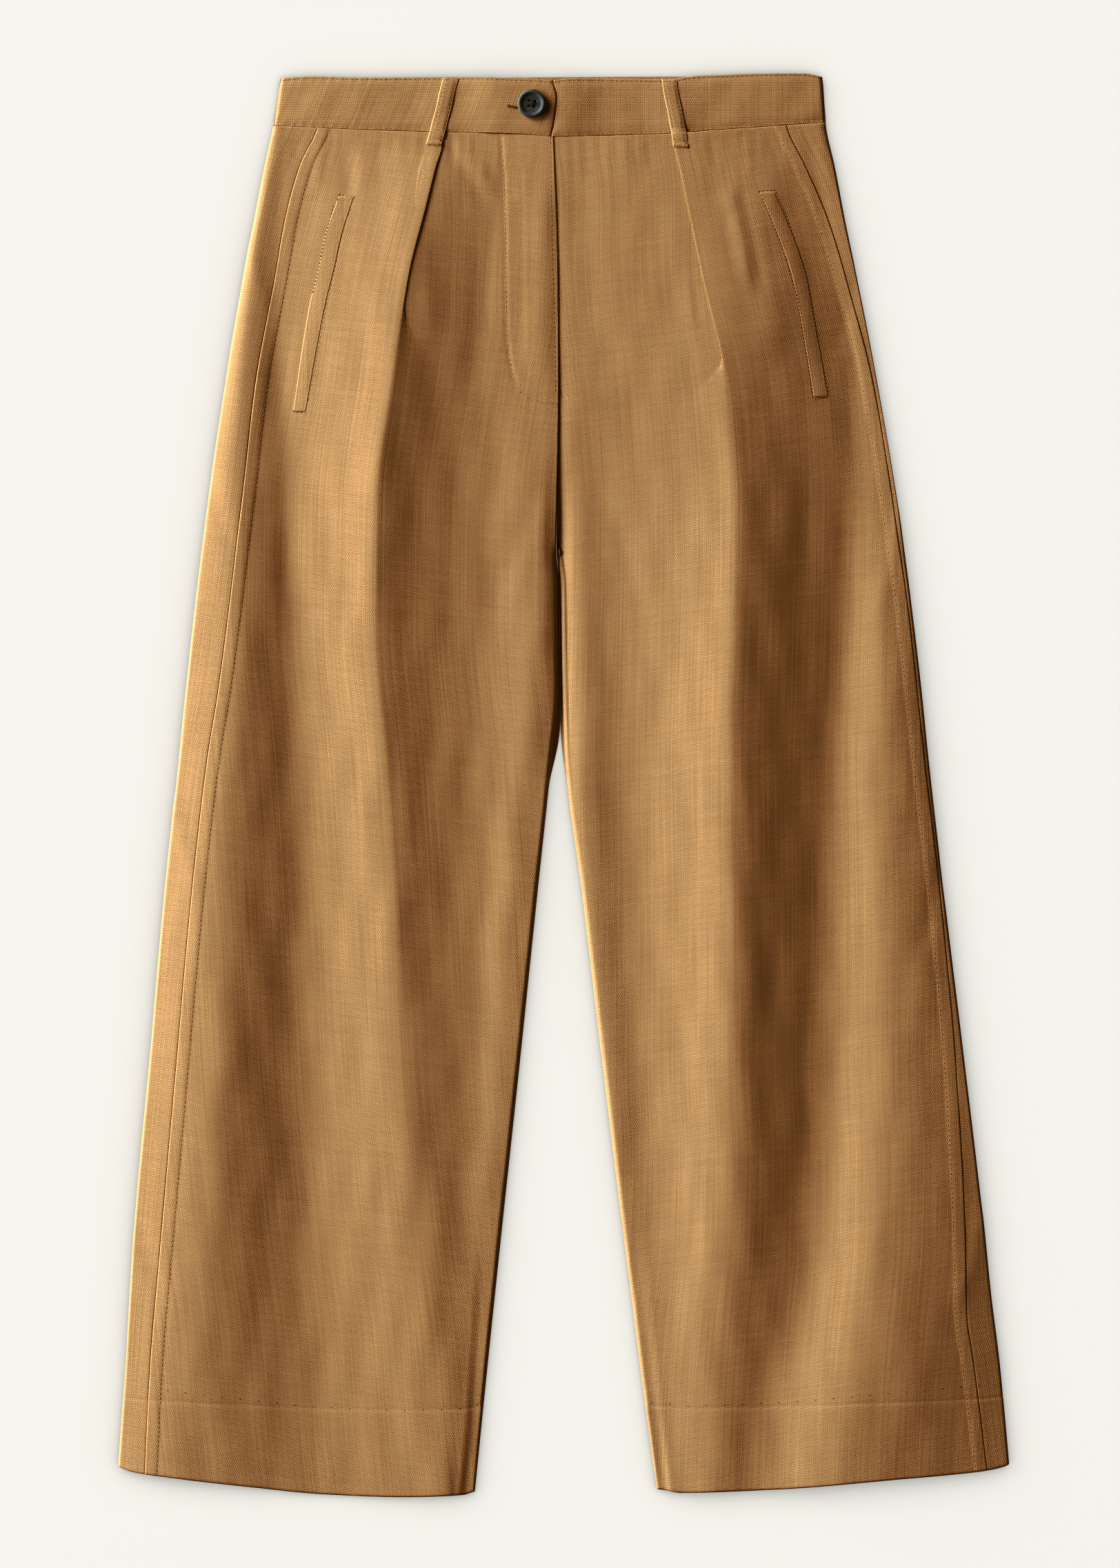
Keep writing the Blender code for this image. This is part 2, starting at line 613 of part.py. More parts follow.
def band_ring(share):
    """Round the band: from its under end over the front left, the back and the front right."""
    down = mix(FRONT_WAIST[0].down, FRONT_TOP[0].down, share)
    left_side = left_leg.edge(down) - BAND_ROLL
    right_side = -right_leg.edge(down) + BAND_ROLL
    lap_end = -right_leg.inner(down)
    ring = []
    for column in range(BAND_RUN_COLUMNS):
        x = mix(BAND_UNDERLAP_END, left_side, column / BAND_RUN_COLUMNS)
        base = mix(BAND_UNDERLAP_HEIGHT, BAND_HEIGHT, between(*BAND_UNDERLAP_RISE, x))
        ring.append((x, base + band_bump(x, share) * between(*BAND_UNDERLAP_RISE, x)))
    for column in range(BAND_ROLL_COLUMNS):
        angle = math.pi * column / BAND_ROLL_COLUMNS
        x = left_side + BAND_ROLL * math.sin(angle)
        ring.append((x, BAND_ROLL * (1 + math.cos(angle))))
    for column in range(BAND_BACK_COLUMNS):
        ring.append((mix(left_side, right_side, column / BAND_BACK_COLUMNS), 0.0))
    for column in range(BAND_ROLL_COLUMNS):
        angle = math.pi * column / BAND_ROLL_COLUMNS
        x = right_side - BAND_ROLL * math.sin(angle)
        ring.append((x, BAND_ROLL * (1 - math.cos(angle))))
    for column in range(BAND_RUN_COLUMNS + 1):
        x = mix(right_side, lap_end, column / BAND_RUN_COLUMNS)
        base = mix(BAND_HEIGHT, BAND_LAP_HEIGHT, between(*BAND_LAP_RISE, x))
        ring.append((x, base + band_bump(x, share) * (1 - between(*BAND_LAP_RISE, x))))
    points = []
    for x, height in ring:
        frontness = min(height / BAND_HEIGHT, 1.0)
        if x < BAND_UNDERLAP_RISE[1] and height > BAND_ROLL:
            frontness = 1.0
        low = mix(back_waist(x), front_waist(x), frontness) - SEAM_GAP / 2
        high = mix(back_top(x), front_top(x), frontness)
        points.append(place(x, mix(low, high, share), height))
    return points


def make_waistband():
    rows = [band_ring(1 - row / BAND_ROWS) for row in range(BAND_ROWS + 1)]
    return add_sheet("waistband", rows, True, BAND_WALL, BAND_FINISH)


def make_belt_loop(loop, surface):
    """A strip from the band's top edge to below the seam, bowed a little off the band."""
    rows = []
    for row in range(LOOP_ROWS + 1):
        share = row / LOOP_ROWS
        down = mix(loop.top_down, loop.bottom_down, share)
        middle = mix(loop.top_x, loop.bottom_x, share)
        steps = [step / LOOP_SAMPLES for step in range(-LOOP_SAMPLES, LOOP_SAMPLES + 1)]
        nearby = [down + LOOP_CLEARS_DOWN * step for step in steps]
        sides = [middle + LOOP_CLEARS_ACROSS * step for step in steps]
        under = max(surface(x, near) for near in nearby for x in sides)
        height = under + LOOP_LIFT + LOOP_BOW * math.sin(math.pi * share)
        edges = (middle - LOOP_WIDTH / 2, middle, middle + LOOP_WIDTH / 2)
        rows.append([place(x, down, height) for x in edges])
    return add_sheet(loop.name, rows, True, LOOP_WALL, TRIM_FINISH, outwards=True)


def make_pocket_welt(name, leg, table, surface):
    """A slanting strip made on the front's own surface and moved out from it."""
    outer = column_of(table, "down", "outer")
    inner = column_of(table, "down", "inner")
    rows = []
    for row in range(WELT_ROWS + 1):
        down = mix(table[0].down, table[-1].down, row / WELT_ROWS)
        points = []
        for column in range(WELT_COLUMNS + 1):
            x = leg.sign * mix(outer(down), inner(down), column / WELT_COLUMNS)
            points.append(place(x, down, surface(x, down) + WELT_LIFT))
        rows.append(points)
    return add_sheet(name, rows, leg.sign < 0, WELT_WALL, TRIM_FINISH, outwards=True)


def make_button(base):
    """A turned disc on the lap of the band, with four drilled holes."""
    radius = BUTTON_DIAMETER / 2
    points = [(radius * row.radius * MM, 0, BUTTON_HEIGHT * row.height * MM) for row in BUTTON_PROFILE]
    mesh = bpy.data.meshes.new("button")
    mesh.from_pydata(points, [(i, i + 1) for i in range(len(points) - 1)], [])
    button = bpy.data.objects.new("button", mesh)
    collection.objects.link(button)
    screw = button.modifiers.new("turn", "SCREW")
    screw.steps = BUTTON_SEGMENTS
    screw.render_steps = BUTTON_SEGMENTS
    screw.use_merge_vertices = True
    screw.merge_threshold = 0.00001
    for row in (-1, 1):
        for column in (-1, 1):
            hole_x = column * BUTTON_HOLE_SPACING / 2 * MM
            hole_y = row * BUTTON_HOLE_SPACING / 2 * MM
            cut = button.modifiers.new("hole", "BOOLEAN")
            cut.operation = "DIFFERENCE"
            cut.object = make_drill(button, hole_x, hole_y)
    button.data.materials.append(make_material("button", BUTTON_FINISH))
    button.location = place(BUTTON_X, BUTTON_DOWN, base + SEAM_GAP)
    button.rotation_euler.z = math.radians(BUTTON_TURN)
    return button


def make_drill(button, x, y):
    length = 3 * BUTTON_HEIGHT * MM
    bpy.ops.mesh.primitive_cylinder_add(vertices=BUTTON_HOLE_SEGMENTS, depth=length,
                                        radius=BUTTON_HOLE_DIAMETER / 2 * MM, location=(x, y, 0))
    drill = bpy.context.object
    drill.name = "button_drill"
    drill.hide_render = True
    drill.display_type = "WIRE"
    drill.parent = button
    for user in list(drill.users_collection):
        user.objects.unlink(drill)
    cutters.objects.link(drill)
    return drill


for old in list(bpy.data.objects):
    bpy.data.objects.remove(old, do_unlink=True)
collection = bpy.data.collections.new("barrel_leg_trousers")
cutters = bpy.data.collections.new("cutters")
bpy.context.scene.collection.children.link(collection)
bpy.context.scene.collection.children.link(cutters)

fronts = {}
for side, leg in (("right", right_leg), ("left", left_leg)):
    back_rows = panel_rows(leg, back_path)
    add_sheet("back_" + side, back_rows, leg.sign < 0, CLOTH_WALL, CLOTH_FINISH, HEM_WALL)
    front_rows = panel_rows(leg, front_path)
    fronts[side] = add_sheet("front_" + side, front_rows, leg.sign < 0, CLOTH_WALL, CLOTH_FINISH,
                             HEM_WALL)

waistband = make_waistband()
front_surface = surface_above([waistband, fronts["right"], fronts["left"]])
for loop in LOOPS:
    make_belt_loop(loop, front_surface)
make_pocket_welt("pocket_welt_right", right_leg, RIGHT_WELT, front_surface)
make_pocket_welt("pocket_welt_left", left_leg, LEFT_WELT, front_surface)
make_button(BAND_LAP_HEIGHT)
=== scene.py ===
import math

import bmesh
import bpy
import numpy as np
from mathutils import Matrix, Vector
from mathutils.bvhtree import BVHTree


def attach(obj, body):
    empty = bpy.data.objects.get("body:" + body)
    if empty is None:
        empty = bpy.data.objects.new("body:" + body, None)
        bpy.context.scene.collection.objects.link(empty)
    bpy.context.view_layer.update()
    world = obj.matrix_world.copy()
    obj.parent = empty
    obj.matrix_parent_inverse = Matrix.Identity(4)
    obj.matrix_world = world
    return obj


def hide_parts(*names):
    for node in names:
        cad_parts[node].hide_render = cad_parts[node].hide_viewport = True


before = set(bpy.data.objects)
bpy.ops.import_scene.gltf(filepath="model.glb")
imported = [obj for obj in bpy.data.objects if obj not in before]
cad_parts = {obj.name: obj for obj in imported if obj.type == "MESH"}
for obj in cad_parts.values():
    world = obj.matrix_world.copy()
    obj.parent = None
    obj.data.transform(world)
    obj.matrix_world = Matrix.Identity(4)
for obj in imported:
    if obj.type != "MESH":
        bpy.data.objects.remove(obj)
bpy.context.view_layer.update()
mm = 0.001  # lengths below are in millimetres
print("frame loaded")

# "down" is the distance below the waist line, "across" the distance out from the middle to a leg's
# own side. The wearer's right leg lies on the left of the picture.
garment = {
    "waistAboveMiddle": 487.6, "centreFromMiddle": 0.4, "waistSeam": 37.0, "hem": 978.0,
    "clothWall": 0.95, "hemWall": 1.7, "hemDepth": 60.0, "hemTurn": 6.0, "seamGap": 0.14,
    "flyLap": 1.3, "flyUnderlap": 8.0, "flyEnd": 226.0, "flyFade": 14.0,
    "edgeRoll": 1.6, "innerRoll": 3.2, "innerStand": 0.7, "footClearance": 0.25,
    "crotch": 320.0, "crotchBlend": 16.0, "waistReach": 70.0, "hemReach": 110.0,
}

# (down, folded outer edge, side seam, inner edge)
rightOutline = [
    (2, 195.4, 165.0, 6.9), (34, 200.3, 169.6, 7.1), (61, 206.2, 182.0, 6.3),
    (99, 213.3, 192.3, 4.7), (137, 220.9, 198.9, 3.9), (213, 233.7, 212.7, 3.5),
    (289, 244.9, 221.4, 4.8), (322, 248.9, 225.5, 5.6), (350, 252.4, 228.7, 4.4),
    (422, 260.3, 238.0, 4.3), (469, 265.0, 245.6, 8.5), (564, 275.5, 256.5, 18.5),
    (683, 286.0, 267.2, 30.9), (802, 296.9, 277.7, 43.7), (887, 302.0, 285.0, 52.6),
    (978, 308.6, 289.5, 61.8),
]
leftOutline = [
    (2, 177.8, 149.0, -6.9), (34, 180.3, 153.4, -7.1), (61, 186.2, 166.0, -6.3),
    (99, 193.4, 182.1, -4.7), (137, 201.4, 193.7, -3.9), (213, 216.0, 213.3, -3.5),
    (289, 228.9, 225.9, -4.8), (322, 233.6, 230.5, -5.2), (350, 237.4, 234.8, -2.6),
    (422, 246.0, 243.1, -1.2), (469, 250.8, 248.0, 0.5), (564, 261.7, 259.1, 12.4),
    (683, 276.2, 270.0, 26.6), (802, 290.2, 276.3, 41.3), (850, 295.4, 277.1, 47.5),
    (887, 300.0, 282.2, 52.1), (978, 308.2, 293.5, 64.5),
]

# Large folds, lines of crests and valleys from the outer edge inwards: (down, across, height)
rightFolds = {
    "sideCrest": [(34, 196, 4.8), (137, 214, 8.0), (289, 226, 9.6), (375, 225, 10.5), (470, 233, 11.4),
                  (564, 237, 12.2), (683, 242, 12.3), (802, 249, 11.4), (861, 253, 10.7), (940, 263, 9.5),
                  (978, 269, 9.0)],
    "sideValley": [(34, 190, 4.7), (137, 197, 6.7), (289, 189, 5.2), (375, 186, 4.8), (470, 181, 4.3),
                   (564, 177, 3.9), (683, 175, 3.6), (802, 172, 3.2), (861, 168, 3.2), (978, 158, 3.5)],
    "mainCrest": [(34, 83, 6.7), (48, 84, 7.6), (61, 88, 9.6), (89, 95, 12.8), (137, 107, 15.6),
                  (213, 118, 17.0), (289, 128, 15.8), (375, 129, 13.4), (470, 121, 12.0), (564, 115, 10.7),
                  (683, 109, 9.8), (802, 98, 8.4), (861, 90, 7.6), (940, 84, 6.8), (978, 80, 6.6)],
    "innerValley": [(34, 36, 5.6), (61, 40, 7.2), (99, 46, 8.4), (137, 52, 8.9), (213, 54, 8.6),
                    (289, 53, 6.6), (375, 51, 4.7), (470, 54, 4.4), (564, 57, 4.5), (683, 60, 4.9),
                    (802, 63, 5.6), (861, 65, 6.0), (940, 70, 6.0), (978, 74, 5.8)],
    "innerCrest": [(34, 14, 6.2), (61, 14, 7.4), (99, 13, 8.8), (137, 12, 9.3), (213, 13, 9.2),
                   (289, 16, 8.2), (375, 18, 6.7), (470, 28, 6.0), (564, 35, 5.8), (683, 44, 5.6), (802, 54, 5.5),
                   (861, 58, 5.4), (940, 63, 4.8), (978, 67, 4.2)],
}
leftFolds = {
    "sideCrest": [(34, 175, 4.8), (137, 195, 5.4), (213, 209, 5.2), (289, 218, 5.4), (330, 219, 6.6),
                  (375, 220, 7.9), (470, 221, 9.8), (564, 223, 10.1), (683, 226, 10.6), (740, 223, 11.7),
                  (802, 216, 13.2), (861, 208, 14.4), (900, 201, 14.8), (978, 190, 13.4)],
    "sideValley": [(34, 166, 4.7), (137, 188, 5.0), (213, 200, 4.6), (289, 198, 4.5), (375, 194, 4.5),
                   (470, 187, 4.4), (564, 183, 4.3), (683, 179, 4.6), (740, 177, 5.2), (802, 172, 6.2),
                   (861, 159, 7.2), (900, 146, 7.4), (978, 132, 7.0)],
    "mainCrest": [(34, 75, 6.9), (48, 76, 7.6), (61, 79, 8.6), (89, 85, 10.2), (137, 95, 12.2),
                  (213, 112, 14.4), (250, 115, 15.2), (289, 117, 16.2), (330, 117, 17.0), (375, 116, 17.2),
                  (470, 114, 16.7), (564, 115, 15.9), (683, 115, 14.7), (740, 117, 14.2), (802, 116, 13.2),
                  (861, 111, 11.6), (900, 108, 10.2), (978, 105, 8.4)],
    "innerValley": [(34, 42, 6.6), (61, 38, 7.6), (99, 32, 8.6), (137, 30, 9.4), (213, 26, 9.2),
                    (289, 25, 7.0), (375, 32, 5.0), (470, 39, 4.5), (564, 44, 4.4), (683, 51, 4.9), (802, 58, 5.4),
                    (900, 67, 5.8), (978, 75, 5.8)],
    "innerCrest": [(34, 11, 6.0), (61, 11, 7.2), (99, 11, 8.4), (137, 11, 9.1), (213, 8, 9.0),
                   (289, 7, 7.2), (375, 9, 6.5), (470, 12, 6.2), (564, 20, 6.0), (683, 32, 5.7),
                   (802, 47, 5.2), (900, 59, 4.8), (978, 69, 4.2)],
}
mainCrest, innerValley = 2, 3
# How straight the flanks run to each fold line, 0 for round and 1 for straight: (down, value)
rightSharpness = [
    [(34, 0.0), (978, 0.0)],
    [(34, 0.3), (300, 0.5), (564, 0.4), (802, 0.28), (978, 0.2)],
    [(34, 1.0), (300, 1.1), (422, 0.94), (564, 0.7), (683, 0.5), (802, 0.34), (978, 0.14)],
    [(34, 0.3), (978, 0.22)],
    [(34, 0.0), (978, 0.0)],
]
leftSharpness = [
    [(34, 0.0), (300, 0.2), (978, 0.2)],
    [(34, 1.2), (137, 1.4), (213, 0.9), (300, 0.75), (740, 0.72), (861, 0.55), (978, 0.3)],
    [(34, 0.2), (137, 0.2), (213, 0.9), (300, 1.0), (375, 0.85), (470, 0.69), (620, 0.55), (802, 0.44),
     (978, 0.25)],
    [(34, 0.3), (978, 0.3)],
    [(34, 0.0), (978, 0.0)],
]
# Half the width of a fold line's soft top: (down, width)
crestRounding = [(34, 3.0), (213, 4.5), (289, 6.5), (375, 9.0), (470, 12.0), (978, 17.0)]

# The pleats' tucks: how far each runs back under its fold, and the radii of its two turns
tuck = {
    "right": [(34, 12.0, 0.3, 0.15), (61, 11.0, 0.22, 0.12), (99, 6.0, 0.18, 0.1), (137, 2.0, 0.16, 0.1),
              (165, 0.6, 0.16, 0.1), (190, 0.3, 0.16, 0.1), (300, 0.2, 0.16, 0.1)],
    "left": [(34, 12.0, 0.24, 0.12), (61, 11.0, 0.22, 0.12), (137, 4.0, 0.2, 0.12),
             (185, 0.8, 0.14, 0.1), (213, 0.3, 0.12, 0.1), (300, 0.2, 0.12, 0.1)],
    "lastDown": 300, "openedReach": 0.45, "evenDown": (560.0, 860.0), "wall": 0.08,
    "thinned": 14, "carried": 6, "turnThins": 3,  # how soon the walls and the relief change beside it
}
# Where each tuck opens, how soon the fold falls off beside its crest, and the hollow beside it
rightPleat = {"opens": (150.0, 214.0), "skew": 0.74, "hollow": 1.12, "hollowRound": 0.25}
leftPleat = {"opens": (190.0, 236.0), "skew": 0.8, "hollow": 1.05, "hollowRound": 0.0}

# Heights: (down, height)
edgeMiddleRows = [(34, 2.5), (61, 3.0), (137, 4.3), (289, 4.8), (375, 5.2), (683, 5.3), (978, 3.9)]
centreFrontRows = [(34, 6.2), (61, 7.4), (99, 8.6), (137, 9.2), (213, 9.0), (250, 8.4), (289, 7.4),
                   (322, 6.4)]
# Curves along the garment: (x, down)
frontWaistRows = [(-201, 33.6), (-110, 37.4), (-30, 39.4), (-8, 41.0), (60, 39.6), (110, 36.2),
                  (181, 31.4)]
backWaistRows = [(-201, 33.6), (-10, 31.0), (181, 31.4)]
frontTopRows = [(-196, 1.0), (-174, -0.4), (-140, 0.4), (-66, 0.0), (-20, 1.4), (-8, 2.2), (6, 1.0),
                (70, 1.7), (92, -0.8), (165, -2.8), (178, 0.0)]
backTopRows = [(-196, 1.0), (-20, 0.2), (60, -0.3), (100, -0.4), (178, 0.0)]
hemRows = [(-308, 956.4), (-298, 960.4), (-270, 964.7), (-213, 971.4), (-165, 976.1), (-110, 978.0),
           (-70, 976.6), (-60, 974.0), (64, 972.4), (80, 975.0), (143, 972.8), (229, 965.7),
           (286, 960.4), (300, 957.8), (309, 954.6)]


def curveThrough(rows, column=1):  # smooth, and never past the values it goes through
    stations = np.array([row[0] for row in rows], float)
    values = np.array([row[column] for row in rows], float)
    slopes = np.diff(values) / np.diff(stations)
    tangents = np.zeros(len(rows))
    tangents[0], tangents[-1] = slopes[0], slopes[-1]
    for i in range(1, len(rows) - 1):
        before, after = slopes[i - 1], slopes[i]
        if before * after > 0:
            tangents[i] = 2 * before * after / (before + after)

    def value(at):
        at = np.asarray(at, float)
        i = np.clip(np.searchsorted(stations, at, side="right") - 1, 0, len(rows) - 2)
        step = stations[i + 1] - stations[i]
        t = (at - stations[i]) / step
        rise = t * t * (3 - 2 * t)
        inside = values[i] * (1 - rise) + values[i + 1] * rise
        inside = inside + t * (1 - t) ** 2 * step * tangents[i] - t * t * (1 - t) * step * tangents[i + 1]
        low = values[0] + tangents[0] * (at - stations[0])
        high = values[-1] + tangents[-1] * (at - stations[-1])
        return np.where(at <= stations[0], low, np.where(at >= stations[-1], high, inside))

    return value


def mix(first, second, share):
    return first + (second - first) * share


def ease(share):
    share = np.clip(share, 0.0, 1.0)
    return share * share * (3 - 2 * share)


def between(limits, value):  # 0 below the first limit, 1 above the second
    return ease((value - limits[0]) / (limits[1] - limits[0]))


def bell(distance, width):  # 1 at the middle, falling off smoothly on both sides
    return np.exp(-(distance / width) ** 2)


def wobble(along, pitch, sway, swayPitch):  # an uneven wave
    return np.sin(2 * math.pi * along / pitch + sway * np.sin(along / swayPitch))


def inPlace(x, down, height):  # from the garment's millimetres to the scene's metres
    return ((x + garment["centreFromMiddle"]) * mm, (garment["waistAboveMiddle"] - down) * mm, height * mm)


def newObject(name, data):
    piece = bpy.data.objects.new(name, data)
    bpy.context.scene.collection.objects.link(piece)
    return piece


def plainMesh(piece):  # the mesh that its modifiers or its curve make
    graph = bpy.context.evaluated_depsgraph_get()
    return bpy.data.meshes.new_from_object(piece.evaluated_get(graph))


edgeMiddle, roundingAt, centreFront = [
    curveThrough(rows) for rows in (edgeMiddleRows, crestRounding, centreFrontRows)]
frontWaist, backWaist, frontTop, backTop, hemLine = [
    curveThrough(rows) for rows in (frontWaistRows, backWaistRows, frontTopRows, backTopRows, hemRows)]


class Leg:
    def __init__(self, side, sign, outline, folds, sharpness, pleat):
        self.side, self.sign, self.pleat = side, sign, pleat
        self.tuckDepth, self.outerTurn, self.innerTurn = [curveThrough(tuck[side], i) for i in (1, 2, 3)]
        self.sharpness = [curveThrough(rows) for rows in sharpness]
        self.edge, self.seam, self.inner = [curveThrough(outline, i) for i in (1, 2, 3)]
        self.folds = [(curveThrough(rows, 1), curveThrough(rows, 2)) for rows in folds.values()]

    def foldAt(self, index, down):
        across, height = self.folds[index]
        return across(down), height(down)


rightLeg = Leg("right", -1, rightOutline, rightFolds, rightSharpness, rightPleat)
leftLeg = Leg("left", 1, leftOutline, leftFolds, leftSharpness, leftPleat)


def wallAt(down):
    hemTop = garment["hem"] - garment["hemDepth"]
    return mix(garment["clothWall"], garment["hemWall"],
               between((hemTop - garment["hemTurn"], hemTop), down))


def flyLapped(down):  # 1 where the right front laps over the left, 0 below the fly
    return 1 - between((garment["flyEnd"] - garment["flyFade"], garment["flyEnd"]), down)


def innerEdge(leg, down):
    edge = leg.inner(down) + garment["seamGap"] / 2
    return edge - garment["flyUnderlap"] * flyLapped(down) if leg is leftLeg else edge


def legParted(down):
    return between((garment["crotch"], garment["crotch"] + garment["crotchBlend"]), down)


def footHeight(down):
    return wallAt(down) + garment["seamGap"] + garment["footClearance"]


def rolledRise(distance, reach, height, radius):
    radius = np.minimum(radius, height)
    inside = np.minimum(distance, radius)
    turn = np.sqrt(np.maximum(radius ** 2 - (radius - inside) ** 2, 0.0))
    return turn + (height - radius) * np.sin(np.pi / 2 * np.minimum(distance / reach, 1.0))


def frontHeight(leg, down, across):
    folds = [leg.foldAt(i, down) for i in range(5)]
    firstAcross, firstHeight = folds[0]
    middle = edgeMiddle(down)
    reach = leg.edge(down) - firstAcross
    distance = np.maximum(leg.edge(down) - across, 0.0)
    height = middle + rolledRise(distance, reach, firstHeight - middle, garment["edgeRoll"])
    slopes = []  # how each flank leaves the fold before it and reaches the one after it
    for i in range(1, 5):
        (outer, outerHeight), (inner, innerHeight) = folds[i - 1], folds[i]
        share = np.clip((outer - across) / (outer - inner), 0.0, 1.0)
        start, end = leg.sharpness[i - 1](down), leg.sharpness[i](down)
        if i - 1 == mainCrest:
            share = share ** mix(leg.pleat["skew"], 1.0, between(tuck["evenDown"], down))
        flank = ((start + end - 2) * share + (3 - 2 * start - end)) * share ** 2 + start * share
        rise = (innerHeight - outerHeight) / (outer - inner)
        slopes.append((rise * start, rise * end))
        height = np.where(across < outer, mix(outerHeight, innerHeight, flank), height)
    for i in range(1, 4):
        kink = slopes[i - 1][1] - slopes[i][0]
        room = 0.5 * np.minimum(folds[i - 1][0] - folds[i][0], folds[i][0] - folds[i + 1][0])
        rounding = np.minimum(roundingAt(down), room)
        near = np.maximum(rounding - np.abs(across - folds[i][0]), 0.0)
        height = height - kink * near ** 2 / (4 * rounding)
    lastAcross, lastHeight = folds[-1]
    edge = innerEdge(leg, down)
    distance = np.maximum(across - edge, 0.0)
    reach = lastAcross - edge
    foot = footHeight(down) + garment["innerStand"]
    legSide = foot + rolledRise(distance, reach, lastHeight - foot, garment["innerRoll"])
    seamSide = mix(centreFront(down), lastHeight, ease(distance / reach))
    return np.where(across < lastAcross, mix(seamSide, legSide, legParted(down)), height)


frontGrid = {  # columns of points across a front: fixed distances at its edges, shares in between
    "fromSeam": [0, 0.25, 0.6, 1.1, 1.8, 2.8, 4.2, 5.6, 6.8, 7.6, 8.2, 8.8, 9.6, 11.2, 13.2],
    "sideColumns": 58, "turnColumns": 9, "centreColumns": 70,
    "toInner": [11.5, 10.2, 9.3, 8.6, 8.3, 8.1, 7.95, 7.8, 7.5, 6.0, 4.2],
    "fromSeamEnd": 15.5, "toInnerStart": 13.0, "rollColumns": 7, "rowStep": 4.0,
}


def frontColumns():
    columns = [("seam", offset, 0.0) for offset in frontGrid["fromSeam"]]
    for i in range(frontGrid["sideColumns"]):
        columns.append(("side", i / frontGrid["sideColumns"], 0.0))
    turns = frontGrid["turnColumns"]
    for i in range(turns + 1):
        columns.append(("turn", i / turns, i / (2 * turns + 1)))
    for i in range(turns + 1):
        columns.append(("unturn", i / turns, (turns + 1 + i) / (2 * turns + 1)))
    for i in range(1, frontGrid["centreColumns"] + 1):
        columns.append(("centre", i / frontGrid["centreColumns"], 1.0))
    for offset in frontGrid["toInner"]:
        columns.append(("inner", offset, 1.0))
    for i in range(frontGrid["rollColumns"] + 1):
        columns.append(("roll", i / frontGrid["rollColumns"], 1.0))
    columns.append(("foot", 0.0, 1.0))
    return columns


def frontPoint(leg, down, column):
    kind, share, tuckShare = column
    pleated = np.minimum(down, tuck["lastDown"])
    outerTurn, innerTurn = leg.outerTurn(pleated), leg.innerTurn(pleated)
    turnStart = leg.foldAt(mainCrest, down)[0] + outerTurn
    seam = leg.seam(down) - garment["seamGap"] / 2
    if kind in ("seam", "side"):
        across = seam - share if kind == "seam" else mix(seam - frontGrid["fromSeamEnd"], turnStart, share)
        return across, frontHeight(leg, down, across)
    edge = innerEdge(leg, down)
    parted = legParted(down)
    if kind == "foot":
        return edge, mix(centreFront(down), footHeight(down), parted)
    if kind == "roll":
        inside = mix(garment["innerStand"], 0.0, parted)
        across = edge + inside + (garment["innerRoll"] - inside) * (1 - np.sin(np.pi / 2 * share))
        return across, frontHeight(leg, down, across)
    opened = between(leg.pleat["opens"], down)
    crest = frontHeight(leg, down, turnStart)
    valleyAcross, valleyHeight = leg.foldAt(innerValley, down)
    reach = tuck["openedReach"] * (turnStart - valleyAcross)
    if kind == "turn":
        across = turnStart - outerTurn * np.sin(np.pi * share)
        height = crest - outerTurn * (1 - np.cos(np.pi * share))
    else:
        left = np.pi * (1 - share) if kind == "unturn" else 0.0
        across = turnStart + leg.tuckDepth(pleated) + innerTurn * np.sin(left)
        height = crest - 2 * outerTurn - innerTurn * (1 + np.cos(left))
    if kind in ("turn", "unturn"):
        plainAcross = turnStart - reach * tuckShare
        return (mix(across, plainAcross, opened),
                mix(height, frontHeight(leg, down, plainAcross), opened))
    tuckEnd, tuckHeight = across, height
    innerAcross = edge + (share if kind == "inner" else frontGrid["toInnerStart"])
    share = 1.0 if kind == "inner" else share
    across = mix(tuckEnd, innerAcross, share)
    height = frontHeight(leg, down, across)
    climb = np.clip((across - valleyAcross) / np.maximum(tuckEnd - valleyAcross, 0.001), 0.0, 1.0)
    climb = mix(climb, ease(climb), leg.pleat["hollowRound"]) ** leg.pleat["hollow"]
    height = np.where(across > valleyAcross, mix(valleyHeight, tuckHeight, climb), height)
    plainAcross = mix(turnStart - reach, innerAcross, share)
    return (mix(across, plainAcross, opened),
            mix(height, frontHeight(leg, down, plainAcross), opened))


backGrid = {"floorColumns": 14, "underRollColumns": 8, "wrapColumns": 20,
            "toSeam": [2.2, 1.4, 0.8, 0.4, 0.15, 0.0], "toSeamStart": 3.2, "rowStep": 3.6,
            "closes": (322, 345), "opens": (440, 490)}  # the backs stay together below the crotch


def backColumns():
    columns = []
    for kind, extra in (("floor", 0), ("underRoll", 0), ("wrap", 1)):
        count = backGrid[kind + "Columns"]
        columns += [(kind, i / count, 0.0) for i in range(count + extra)]
    return columns + [("seam", offset, 0.0) for offset in backGrid["toSeam"]]


crotchClose = curveThrough([(289, -4.8), (322, -5.4), (350, -3.5), (422, -2.75), (478, -2.5)])  # (down, x)


def backInner(leg, down):
    closed = between(backGrid["closes"], down) * (1 - between(backGrid["opens"], down))
    return mix(leg.inner(down), leg.sign * crotchClose(down), closed)


